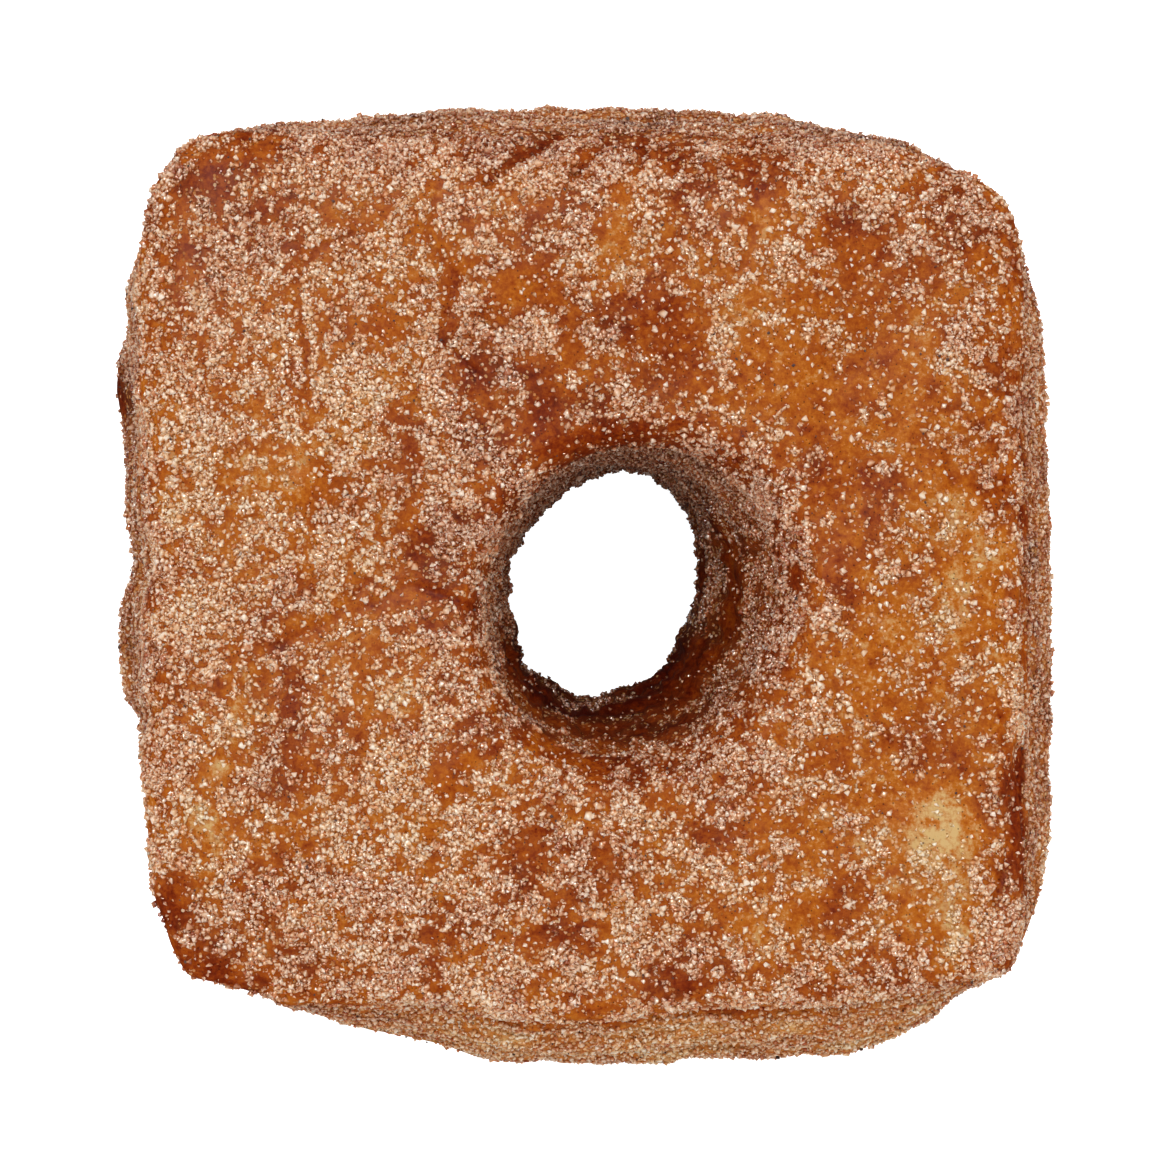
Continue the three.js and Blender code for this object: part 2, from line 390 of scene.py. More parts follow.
@dataclass
class RingShape:
    """The doughnut's form. One cross section at each bearing, joined into a closed ring."""

    height: float = 41.4
    lip_level: float = 38.1
    layers_top: float = 37.0
    layers_foot: float = 4.4
    foot_level: float = 3.3
    rim_level: float = 36.4
    waist_level: float = 15.0
    skin: Outline = Outline(
        (43.8, 44.2, 42.9, 41.6),
        (7.2, 12.0, 6.8, 9.0),
        (
            Pull(268, 17, 1.3),
            Pull(37, 7, 0.9),
            Pull(53, 8, -1.0),
            Pull(131, 8, 0.6),
            Pull(232, 9, -0.6),
            Pull(221, 5, 0.2),
            Pull(212, 7, -0.5),
            Pull(308, 7, -0.9),
            Pull(321, 8, 0.8),
        ),
    )
    belly: Outline = Outline(
        (47.2, 47.1, 44.9, 47.9),
        (3.9, 4.4, 2.5, 3.9),
        (
            Pull(249, 8, -0.6),
            Pull(222, 9, 2.8),
            Pull(205, 9, -1.0),
            Pull(54, 9, -1.0),
            Pull(115, 9, -0.6),
            Pull(132, 8, 1.5),
            Pull(328, 9, 1.2),
        ),
    )
    foot_inset: float = 1.6
    edge_round: tuple[float, ...] = (3.2, 6.5, 3.0, 2.3)
    bottom_round: float = 3.4
    rim_oval: Oval = Oval(5.2, -1.7, 15.4, 14.0)
    waist_oval: Oval = Oval(
        2.5,
        0,
        11.4,
        9.2,
        65,
        (Pull(205, 16, -0.6), Pull(122, 18, -0.6), Pull(302, 12, 0.5), Pull(243, 12, -0.5)),
    )
    foot_oval: Oval = Oval(1.8, 0.6, 14.6, 12.9)
    rim_round: tuple[float, ...] = (4.5, 2.8, 2.2, 3.6)
    hole_bottom_round: float = 2.8
    side_layers: int = 8
    groove_depth: float = 1.25
    lip_groove: tuple[float, ...] = (1.1, 0.4, 0.9, 1.3)
    layer_shift: float = 0.75
    shift_change: float = 2.2
    layer_wave: float = 1.1
    wave_change: float = 0.3
    middle_swell: float = 0.055
    belly_fullness: float = 0.8
    wall_layers: int = 6
    wall_groove: float = 0.45
    wall_wave: float = 0.35
    wall_change: float = 3
    side_blisters: tuple[SideBlister, ...] = (
        SideBlister(157.6, 20, 4.6, 4.0, 1.3),
        SideBlister(184.6, 17, 2.8, 3.4, 0.8),
        SideBlister(193.4, 22, 1.6, 2.4, 1.2),
        SideBlister(139.2, 24, 1.8, 3.0, 0.9),
        SideBlister(214.4, 27, 2.6, 3.4, 1.3),
        SideBlister(322.0, 12, 4.0, 4.0, 0.9),
        SideBlister(96.0, 14, 5.0, 4.0, 0.5),
    )
    top_blisters: tuple[Patch, ...] = (
        Patch(-27.3, 9.6, 4.2, 3.2, 0.5, 10), Patch(-12.6, -18.6, 4.0, 3.0, 0.55, 60),
        Patch(6.8, 27.0, 5.5, 4.5, 0.6, 30), Patch(-4.5, 33.0, 8.0, 6.5, 0.55, 80),
        Patch(-17.0, 2.5, 6.0, 4.0, -0.5, -35), Patch(26.0, 9.5, 6.5, 4.5, -0.45, 60),
        Patch(36.0, -26.0, 6.5, 5.0, 0.5, 75), Patch(-6.0, -28.0, 6.0, 4.5, -0.4, -60),
        Patch(29.0, 24.0, 7.0, 5.0, -0.4, 20), Patch(-31.0, -26.0, 6.5, 5.0, 0.45, 50),
    )
    # Wavelength, bearing and height of each slow wave of the top skin
    top_swells: tuple[tuple[float, float, float], ...] = (
        (61, 24, 0.32),
        (43, 118, 0.22),
        (29, 71, 0.16),
        (19, 160, 0.12),
        (13, 12, 0.08),
    )
    crown: float = 0.9
    corner_crowding: float = 0.1

    def drift(self, bearing: Array, change: Array | float, seed: int) -> Array:
        """Slow waves round the doughnut, between about -1 and 1, turned by a change.

        Args:
            bearing: Bearings in radians.
            change: What turns the waves.
            seed: Number of the first wave.

        Returns:
            The waves' height at each bearing.
        """
        return (
            0.5 * np.sin(2 * bearing + 1.1 * change + phase(seed))
            + 0.35 * np.sin(5 * bearing - 1.9 * change + phase(seed + 1))
            + 0.25 * np.sin(9 * bearing + 2.6 * change + phase(seed + 2))
        )

    def layer_relief(self, layer: float) -> float:
        """Round-topped layers with narrow grooves: 0 on a crest, -1 in a groove."""
        return math.sqrt(abs(math.sin(math.pi * layer))) - 1

    def settled(self, layer: float) -> float:
        """The number of a layer, which turns to the next in the groove below it."""
        whole = math.floor(layer)
        return whole + float(smoothstep(layer - whole, 0.8, 1))

    def side_level(self, layer: float, bearing: Array) -> Array:
        """Level of a place on the side, counted in layers from the top edge.

        Args:
            layer: Layers from the top edge.
            bearing: Bearings in radians.

        Returns:
            Levels.
        """
        share = layer / self.side_layers
        eased = share - self.middle_swell * math.sin(2 * math.pi * share)
        wave = self.drift(bearing, self.wave_change * layer, 1)
        wave = self.layer_wave * math.sin(math.pi * share) * wave
        return lerp(self.layers_top, self.layers_foot, eased) + wave

    def side_radius(self, layer: float, bearing: Array) -> Array:
        """Distance from the middle to the side at a place counted in layers.

        Args:
            layer: Layers from the top edge.
            bearing: Bearings in radians.

        Returns:
            The distance at each bearing.
        """
        share = layer / self.side_layers
        straight = self.skin.radius(bearing) - self.foot_inset * share
        in_middle = max(0.0, math.sin(math.pi * share))
        change = self.shift_change * self.settled(layer)
        shift = self.layer_shift * in_middle * self.drift(bearing, change, 4)
        depth = lerp(around(self.lip_groove, bearing, 0), self.groove_depth, min(layer, 1))
        level = self.side_level(layer, bearing)
        blister = np.zeros_like(bearing)
        for b in self.side_blisters:
            away = apart(bearing, b.bearing_deg) * self.belly.half[0]
            fade = -((away / b.length) ** 2) - ((level - b.level) / b.height) ** 2
            blister += b.proud * np.exp(fade)
        even = lerp(straight, self.belly.radius(bearing), in_middle**self.belly_fullness)
        return even + shift + depth * self.layer_relief(layer) + blister

    def wall_point(self, share: float, bearing: Array) -> Array:
        """The wall of the hole at a share of the way down, 0 at the rim and 1 at its foot.

        Args:
            share: Share of the way down.
            bearing: Bearings in radians.

        Returns:
            One point for each bearing.
        """
        deep = self.rim_level - self.hole_bottom_round
        waist_share = (self.rim_level - self.waist_level) / deep
        rim, waist = self.rim_oval.points(bearing), self.waist_oval.points(bearing)
        foot = self.foot_oval.points(bearing)
        if share < waist_share:
            place = lerp(rim, waist, math.sin(math.pi / 2 * share / waist_share))
        else:
            below = (share - waist_share) / (1 - waist_share)
            place = lerp(waist, foot, 1 - math.cos(math.pi / 2 * below))
        swell = math.sin(math.pi * share)
        relief = -self.layer_relief(self.wall_layers * share) * self.wall_groove * swell
        wave = self.wall_wave * swell * self.drift(bearing, self.wall_change * share, 7)
        out = np.stack([np.cos(bearing), np.sin(bearing)], -1) * (relief + wave)[:, None]
        return self.raised(place + out, self.rim_level - deep * share)

    def top_level(self, flat: Array) -> Array:
        """Height of the top skin over each place, before its edges round off.

        Args:
            flat: Places as x and y.

        Returns:
            The height at each place.
        """
        x, y = flat[..., 0], flat[..., 1]
        swell = np.zeros_like(x)
        for i, (wavelength, bearing_deg, height) in enumerate(self.top_swells):
            turn = math.radians(bearing_deg)
            run = x * math.cos(turn) + y * math.sin(turn)
            swell += height * np.sin(2 * math.pi * run / wavelength + phase(i + 11))
        outward = (x / self.skin.half[0]) ** 4 + (y / self.skin.half[1]) ** 4
        return self.height + swell + patched(self.top_blisters, x, y) - self.crown * outward

    def raised(self, flat: Array, level: Array | float) -> Array:
        """Puts flat places at a level."""
        height = np.broadcast_to(np.asarray(level, float), flat.shape[:-1])
        return np.concatenate([flat, height[..., None]], -1)

    def round_point(self, start: Array, inward: Array, width: Array, drop: Array, share: float) -> Array:
        """One point of a quarter round on each section, from its upright to its flat side.

        Args:
            start: Where the quarter round begins, on its upright side.
            inward: Unit direction towards its flat side.
            width: How wide it is.
            drop: How far it rises.
            share: How far along it, from 0 to 1.

        Returns:
            One point for each section.
        """
        angle = math.pi / 2 * share
        flat = start + inward * (width * (1 - math.cos(angle)))[:, None]
        return self.raised(flat, self.top_level(flat) - drop * (1 - math.sin(angle)))

    def sections(self, rows: RowCounts, columns: int) -> tuple[Array, list[Zone], list[float]]:
        """Builds every cross section.

        Args:
            rows: How many rows each stretch gets.
            columns: How many cross sections there are round the hole.

        Returns:
            Points as rows by columns by three, the zone of each row, and how far down its layers
            each row lies, counted in layers.
        """
        even = 2 * math.pi * np.arange(columns) / columns
        bearing = even + self.corner_crowding * np.sin(4 * even)
        direction = np.stack([np.cos(bearing), np.sin(bearing)], -1)
        points: list[Array] = []
        zones: list[Zone] = []
        layers: list[float] = []

        def add(point: Array, zone: Zone, layer: float = 0.0) -> None:
            """Adds one row of points."""
            points.append(point)
            zones.append(zone)
            layers.append(layer)

        outer = direction * self.skin.radius(bearing)[:, None]
        inner = self.rim_oval.points(bearing)
        inward = inner - outer
        length = np.linalg.norm(inward, axis=1)
        inward = inward / length[:, None]
        edge_width = around(self.edge_round, bearing, 0)
        rim_width = around(self.rim_round, bearing, 0)
        edge_drop = self.top_level(outer) - self.lip_level
        rim_drop = self.top_level(inner) - self.rim_level

        groove = direction * self.side_radius(0, bearing)[:, None]
        for i in range(rows.under_lip):
            share = (i + 1) / (rows.under_lip + 1)
            flat = lerp(groove, outer, math.sin(math.pi / 2 * share))
            add(self.raised(flat, lerp(self.layers_top, self.lip_level, share)), Zone.LIP)
        for i in range(rows.edge):
            share = i / rows.edge
            add(self.round_point(outer, inward, edge_width, edge_drop, share), Zone.LIP)
        for i in range(rows.top + 1):
            along = lerp(edge_width, length - rim_width, i / rows.top)
            flat = outer + inward * along[:, None]
            add(self.raised(flat, self.top_level(flat)), Zone.TOP)
        for i in range(rows.rim, 0, -1):
            share = i / (rows.rim + 1)
            add(self.round_point(inner, -inward, rim_width, rim_drop, share), Zone.RIM)
        for i in range(rows.wall + 1):
            share = i / rows.wall
            add(self.wall_point(share, bearing), Zone.WALL, self.wall_layers * share)

        hole_foot = self.foot_oval.points(bearing)
        side_foot = direction * (self.skin.radius(bearing) - self.foot_inset)[:, None]
        across = side_foot - hole_foot
        width = np.linalg.norm(across, axis=1)
        across = across / width[:, None]
        for i in range(1, rows.hole_bottom):
            angle = math.pi / 2 * i / rows.hole_bottom
            flat = hole_foot + across * self.hole_bottom_round * (1 - math.cos(angle))
            add(self.raised(flat, self.hole_bottom_round * (1 - math.sin(angle))), Zone.UNDERSIDE)
        for i in range(rows.underside + 1):
            along = lerp(self.hole_bottom_round, width - self.bottom_round, i / rows.underside)
            add(self.raised(hole_foot + across * along[:, None], 0.0), Zone.UNDERSIDE)
        for i in range(1, rows.bottom_edge + 1):
            angle = math.pi / 2 * i / rows.bottom_edge
            flat = side_foot - across * self.bottom_round * (1 - math.sin(angle))
            add(self.raised(flat, self.foot_level * (1 - math.cos(angle))), Zone.UNDERSIDE)

        places = [float(self.side_layers)]
        for layer in range(self.side_layers - 1, -1, -1):
            places += [layer + row for row in rows.layer]
        for place in places:
            flat = direction * self.side_radius(place, bearing)[:, None]
            add(self.raised(flat, self.side_level(place, bearing)), Zone.SIDE, place)
        return np.array(points), zones, layers

    def middle(self) -> Array:
        """Middle of the part's own box, which its source moves over the origin.

        Returns:
            The middle as x and y.
        """
        points, _, _ = self.sections(COARSE_ROWS, COARSE_COLUMNS)
        flat = points[..., :2].reshape(-1, 2)
        return (flat.min(axis=0) + flat.max(axis=0)) / 2


# How thickly the sugar lies and how dark the dough has fried, with painted shade added to the darkness


@dataclass(frozen=True)
class Crease:
    """A crease of the top skin along a few points: half width and depth."""

    path: tuple[tuple[float, float], ...]
    wide: float
    deep: float

    def at(self, x: Array, y: Array) -> Array:
        """1 on the crease, fading to 0 outside its half width.

        Args:
            x: Distance to the east.
            y: Distance to the north.

        Returns:
            The share at each place.
        """
        place = np.stack([x, y], -1)
        near = np.full(x.shape, 1e9)
        for start, end in zip(self.path, self.path[1:]):
            a, b = np.array(start), np.array(end)
            run = b - a
            t = np.clip(((place - a) @ run) / (run @ run), 0, 1)
            near = np.minimum(near, np.linalg.norm(place - a - t[..., None] * run, axis=-1))
        return np.exp(-((near / self.wide) ** 2))


@dataclass
class CrustMap:
    """Sugar cover, and browning with painted shade added, over the whole surface. Places are as the camera
    sees them.
    """

    # Where the sugar lies thick or thin over large parts of the top
    broad: tuple[Patch, ...] = (
        Patch(27, 14, 15, 20, -0.22), Patch(28, -10, 14, 14, -0.20), Patch(8, 22, 10, 9, -0.12),
        Patch(-4, 12, 9, 6, -0.14), Patch(-40, 4, 7, 34, 0.12), Patch(-22, 20, 16, 18, 0.04),
        Patch(30, 44, 14, 3.4, 0.24), Patch(-18, 43, 18, 3.4, 0.12), Patch(36, -37, 9, 7, 0.10),
        Patch(12, -40, 26, 3, 0.10), Patch(18, 41, 5, 2.6, 0.06), Patch(28, 34, 3.4, 4.4, -0.22),
        Patch(20, 26.6, 3.0, 3.0, -0.14), Patch(19, 31.6, 2.2, 2.4, 0.20),
        Patch(13.0, 24.2, 1.6, 3.6, 0.60), Patch(16.7, 15, 2.8, 2.2, 0.10),
        Patch(16.4, 4.0, 2.4, 7.0, 0.50), Patch(23.4, -3.2, 2.0, 2.2, 0.40),
        Patch(26.6, 6.0, 3.4, 2.6, -0.30), Patch(35.2, 6.8, 3.0, 2.4, 0.30),
        Patch(33.4, 23.4, 3.0, 3.4, -0.16), Patch(36.2, 23, 1.8, 3.0, 0.44),
        Patch(25.6, 23.6, 3.0, 3.0, 0.25), Patch(19.0, -16.6, 2.6, 1.6, 0.50),
        Patch(11.1, -19.6, 1.6, 2.4, 0.40), Patch(-14.0, -15.0, 1.8, 1.8, 0.35),
        Patch(-42.5, 39.0, 2.2, 3.4, 0.20), Patch(1.8, 40.9, 2.0, 1.4, 0.36),
        Patch(-23.2, 32.0, 2.0, 1.5, 0.28), Patch(-12.4, 28.2, 3.0, 1.6, 0.20),
        Patch(-5.5, 27.1, 1.4, 1.4, 0.30), Patch(22.9, 30.2, 2.0, 1.5, 0.24),
        Patch(37.4, 21.2, 1.6, 1.8, 0.28), Patch(41.0, 15.4, 1.5, 2.2, 0.28),
        Patch(-15.3, 8.5, 1.4, 2.4, 0.32), Patch(-2.6, 16.4, 1.8, 2.2, 0.26),
        Patch(-31.8, -17.0, 1.7, 2.8, 0.32), Patch(27.6, -12.6, 5.0, 1.5, 0.24, 45),
        Patch(30.0, 1.0, 1.4, 2.6, 0.22), Patch(12.1, -29.6, 1.4, 2.2, 0.28),
        Patch(-6.5, -32.5, 1.9, 1.9, 0.30), Patch(20.4, -36.0, 2.0, 1.5, 0.30),
        Patch(40.6, -32.4, 2.0, 2.4, 0.38), Patch(8.4, 36.4, 1.7, 3.2, -0.36),
        Patch(-21.2, 36.0, 2.4, 1.8, -0.32), Patch(-32.8, 32.4, 1.9, 2.8, -0.22),
        Patch(-23.0, -6.2, 2.2, 1.5, -0.36), Patch(-32.0, -10.2, 1.4, 1.9, -0.32),
        Patch(14.8, -9.6, 2.6, 2.4, -0.30), Patch(-28.0, -25.8, 1.9, 2.4, -0.32),
        Patch(-3.6, -39.0, 2.0, 1.3, -0.32), Patch(35.6, -30.8, 2.8, 1.3, -0.28),
        Patch(-35.2, 3.6, 1.8, 3.8, -0.22), Patch(-41.2, 28.1, 1.6, 1.8, 0.30),
        Patch(-44.8, -6.6, 1.5, 3.0, 0.50), Patch(13.0, 30.4, 2.6, 1.4, -0.28, 20),
        Patch(7.2, 32.5, 1.6, 1.4, -0.28), Patch(38.4, 0.2, 4.6, 2.0, -0.22),
        Patch(32.1, -8.6, 1.5, 1.5, -0.32), Patch(-34.8, -22.8, 2.4, 1.8, -0.24),
        Patch(-26.0, -40.4, 1.8, 1.8, -0.32), Patch(1.4, -27.7, 1.6, 1.6, -0.30),
        Patch(-26.6, 6.4, 2.2, 1.5, 0.30), Patch(-24.6, -1.0, 4.4, 1.0, 0.30),
        Patch(-24.4, -9.0, 1.5, 3.4, 0.25, 25), Patch(-24.1, 40.6, 2.4, 2.0, 0.32),
        Patch(-15.6, 36.2, 2.4, 1.5, 0.28), Patch(26.4, 37.8, 1.8, 2.4, 0.28),
        Patch(29.8, 40.6, 1.4, 2.2, 0.26), Patch(7.4, 19.6, 1.6, 1.5, 0.34),
        Patch(-12.8, 16.8, 1.4, 3.4, 0.26), Patch(34.0, -4.0, 5.0, 6.0, 0.16),
        Patch(22.4, -10.8, 5.4, 3.4, 0.20), Patch(42.6, -13.6, 2.0, 3.2, 0.40),
        Patch(34.6, -25.8, 2.6, 1.2, 0.28), Patch(29.8, -32.2, 1.7, 2.0, 0.34),
        Patch(-8.4, -37.0, 1.8, 1.8, 0.28), Patch(-1.0, -18.4, 1.5, 2.0, 0.28),
        Patch(-39.8, -18.0, 2.0, 2.2, 0.30), Patch(-2.6, 23.4, 1.4, 3.2, -0.36),
        Patch(22.9, 27.2, 2.6, 1.4, -0.34), Patch(37.0, 8.6, 2.0, 2.0, -0.34),
        Patch(-18.4, 1.8, 5.0, 1.2, -0.28), Patch(-41.4, 8.6, 1.8, 3.0, -0.26),
        Patch(-43.0, 34.6, 1.6, 2.6, -0.26), Patch(-41.6, -12.6, 1.8, 2.0, -0.28),
        Patch(-41.8, -22.8, 1.6, 2.4, -0.32), Patch(-28.9, 24.2, 1.8, 2.6, -0.24),
        Patch(25.8, -29.8, 2.4, 1.6, -0.34), Patch(42.4, 24.2, 1.6, 4.0, -0.26),
        Patch(18.0, -21.4, 6.0, 1.1, -0.20), Patch(-16.2, -23.8, 2.6, 1.2, -0.22),
        Patch(36.5, -11.6, 1.8, 3.0, 0.30), Patch(20.9, 2.6, 1.4, 4.0, 0.30),
        Patch(29.8, 3.0, 1.8, 3.4, 0.24), Patch(33.6, -4.0, 1.8, 2.0, 0.26),
        Patch(-1.6, 30.6, 2.2, 2.2, 0.26), Patch(-14.6, 20.6, 1.4, 4.0, 0.26),
        Patch(-21.4, 14.6, 1.8, 2.6, 0.24), Patch(14.0, 38.0, 2.0, 2.4, 0.26),
        Patch(10.2, 34.4, 1.8, 1.8, 0.26), Patch(-37.0, -6.0, 3.0, 3.0, -0.20),
        Patch(-36.0, -15.0, 1.8, 2.6, -0.20), Patch(37.0, -35.0, 1.6, 4.6, -0.26),
        Patch(-8.6, -10.0, 2.4, 2.0, -0.24), Patch(26.0, 30.6, 2.6, 3.6, -0.36),
        Patch(18.2, 35.4, 2.6, 1.6, -0.30), Patch(7.2, 41.8, 4.0, 2.0, -0.28),
        Patch(8.0, 45.6, 12.0, 1.6, 0.30), Patch(39.4, 40.6, 3.4, 2.6, -0.24),
        Patch(-24.4, 30.6, 3.0, 4.4, -0.22), Patch(-7.2, 39.4, 3.4, 1.2, 0.30),
        Patch(39.0, 30.0, 1.6, 2.6, 0.40), Patch(-26.0, 17.3, 3.0, 1.8, -0.26),
        Patch(-9.4, 15.4, 2.0, 2.8, -0.30), Patch(-12.3, 1.7, 2.6, 1.6, 0.30),
        Patch(-7.4, 21.0, 1.6, 3.0, 0.30), Patch(6.0, 17.6, 6.0, 2.0, 0.20),
        Patch(18.9, 19.3, 1.6, 2.6, 0.30), Patch(-35.8, 14.4, 2.4, 2.6, 0.30),
        Patch(-29.6, -13.0, 1.4, 5.0, 0.25), Patch(-12.3, -22.3, 1.8, 3.0, 0.35),
        Patch(-13.3, -34.0, 2.4, 2.4, -0.40), Patch(-30.0, -33.1, 2.6, 2.0, -0.25),
        Patch(-36.7, -33.2, 2.4, 2.2, 0.25), Patch(-6.4, -17.9, 3.0, 2.6, -0.25),
        Patch(-19.6, -37.6, 5.0, 1.6, 0.25, -18), Patch(4.0, -40.6, 8.0, 1.3, -0.26, -3),
        Patch(6.7, -29.1, 2.0, 2.4, -0.30), Patch(16.0, -28.4, 2.4, 1.8, -0.25),
        Patch(26.8, -36.4, 3.0, 3.0, -0.22), Patch(25.8, -22.8, 2.0, 2.4, 0.35),
        Patch(19.2, -10.2, 3.4, 1.6, -0.35), Patch(27.8, -1.3, 1.6, 2.8, -0.28),
        Patch(37.0, -3.0, 2.2, 4.6, -0.26), Patch(40.4, 11.6, 2.2, 2.4, -0.30),
        Patch(15.0, 16.3, 2.0, 2.0, -0.30), Patch(-19.7, -33.6, 1.8, 2.6, 0.35),
        Patch(-4.0, 35.0, 5.5, 2.6, -0.16), Patch(-42.0, 26.0, 3.0, 7.0, -0.16),
        Patch(-37.0, 8.5, 5.0, 3.0, -0.16), Patch(-15.0, -1.0, 6.0, 5.0, -0.16),
        Patch(36.8, 36.6, 2.2, 3.2, 0.24), Patch(40.6, 28, 3.0, 8.0, -0.25),
        Patch(6.2, -19.8, 2.4, 3.4, -0.30), Patch(5.3, -30, 2.4, 7.0, 0.06),
        Patch(21, -28.0, 7.0, 5.0, -0.28), Patch(34.6, -21.6, 3.0, 1.2, -0.30),
        Patch(38.4, -32.4, 2.4, 2.4, 0.30), Patch(13.4, -36.4, 2.6, 2.2, 0.36),
        Patch(34.8, -27.0, 3.0, 1.3, 0.44), Patch(-20.4, 38.4, 3.6, 3.2, -0.12),
        Patch(-37.4, 38, 3.2, 3.4, -0.28), Patch(-32, -9.6, 5.0, 3.0, -0.16),
        Patch(-22, -6.4, 5.0, 3.4, -0.16), Patch(-33, -24, 5.0, 2.6, -0.14),
        Patch(-40, -31, 3.0, 4.0, -0.16), Patch(-26, 13, 6.0, 6.0, -0.08), Patch(5, -39, 10, 2.6, -0.10),
        Patch(-11.6, 24.6, 3.4, 1.6, 0.50), Patch(-5.6, 24.6, 2.4, 1.6, 0.50),
        Patch(-9.6, 33.6, 2.8, 1.4, 0.14),
    )
    # Places where hardly any sugar stuck
    bare: tuple[Patch, ...] = (
        Patch(-34.6, 41.6, 6.0, 2.2, -0.55, 26), Patch(-15.0, 35.8, 3.8, 1.1, -0.5, 84),
        Patch(-12.9, 31.8, 2.4, 1.2, -0.6, -40), Patch(-13.1, 27.2, 3.4, 1.2, -0.6, 90),
        Patch(-19.4, 25.2, 2.6, 1.9, -0.7, 20), Patch(-6.2, 29.2, 4.2, 2.4, -0.8, 14),
        Patch(-11.6, 20.6, 3.0, 1.8, -0.5, 10), Patch(-4.8, 18.4, 2.2, 4.6, -0.8, 12),
        Patch(-39.8, 28.0, 1.5, 4.0, -0.5), Patch(-35.0, 11.0, 2.2, 1.4, -0.5, 70),
        Patch(-17.4, 15.0, 3.8, 1.2, -0.6, 90), Patch(-17.0, 6.2, 2.0, 4.2, -0.6),
        Patch(-27.6, -4.4, 4.2, 1.3, -0.6, 26), Patch(-22.8, -0.8, 2.6, 1.1, -0.5, 45),
        Patch(-15.8, -0.6, 4.6, 1.4, -0.6, 8), Patch(-23.0, -11.6, 2.4, 2.2, -0.7, -40),
        Patch(-29.0, -11.8, 1.6, 2.6, -0.7), Patch(-35.4, -17.2, 3.2, 1.7, -0.4, 10),
        Patch(-28.6, -17.8, 3.2, 2.4, -0.7, -35), Patch(-13.0, -18.3, 2.2, 2.8, -0.8, 20),
        Patch(-37.4, -24.4, 1.3, 3.2, -0.4, 20), Patch(-6.0, -26.4, 3.6, 2.8, -0.5, -30),
        Patch(-5.4, -33.8, 4.4, 2.2, -0.5), Patch(0.9, -19.8, 3.6, 1.2, -0.6, 90),
        Patch(-38.0, -37.4, 6.4, 1.9, -0.9, -27), Patch(2.8, 35.0, 1.7, 3.2, -0.6),
        Patch(7.8, 26.4, 2.8, 2.8, -0.85), Patch(9.6, 21.2, 2.8, 2.8, -0.8),
        Patch(16.6, 21.4, 1.8, 4.0, -0.6), Patch(16.9, 36.2, 1.5, 3.0, -0.6),
        Patch(22.0, 19.4, 4.0, 3.8, -0.7), Patch(15.6, 41.6, 1.8, 2.6, -0.5),
        Patch(30.2, 23.0, 4.0, 4.2, -0.6), Patch(31.4, 16.6, 4.4, 2.2, -0.6),
        Patch(24.8, 10.6, 3.6, 2.4, -0.6), Patch(34.0, 11.6, 2.4, 1.8, -0.4),
        Patch(38.4, 31.6, 1.8, 1.6, -0.5), Patch(35.6, 2.4, 3.4, 2.4, -0.5),
        Patch(26.6, -9.4, 2.2, 2.6, -0.6), Patch(24.0, 1.0, 3.6, 2.2, -0.5, -15),
        Patch(32.2, -5.0, 3.0, 1.8, -0.6), Patch(29.2, -12.8, 3.2, 1.8, -0.4),
        Patch(39.4, -12.6, 1.6, 2.6, -0.4), Patch(23.2, -16.6, 2.4, 1.5, -0.4),
        Patch(29.6, -20.6, 3.8, 2.8, -0.8), Patch(35.2, -22.8, 3.2, 4.6, -1.1),
        Patch(32.2, -32.8, 2.4, 3.2, -0.7), Patch(16.6, -33.6, 1.5, 2.8, -0.55),
        Patch(22.4, -31.8, 2.6, 1.5, -0.6), Patch(12.6, -24.6, 2.8, 1.5, -0.6),
        Patch(11.0, -38.6, 3.6, 1.2, -0.5), Patch(1.8, 14.6, 4.4, 1.7, -0.8),
        Patch(-3.0, -15.8, 4.0, 1.3, -0.6, -30), Patch(-27.3, 9.6, 2.6, 1.7, -0.5, 10),
        Patch(-40.8, -31.6, 1.3, 2.6, -0.9, -20), Patch(41.9, -20.6, 0.8, 4.4, -0.7, 10),
        Patch(42.5, -27.6, 0.8, 3.4, -0.7, -6),
    )
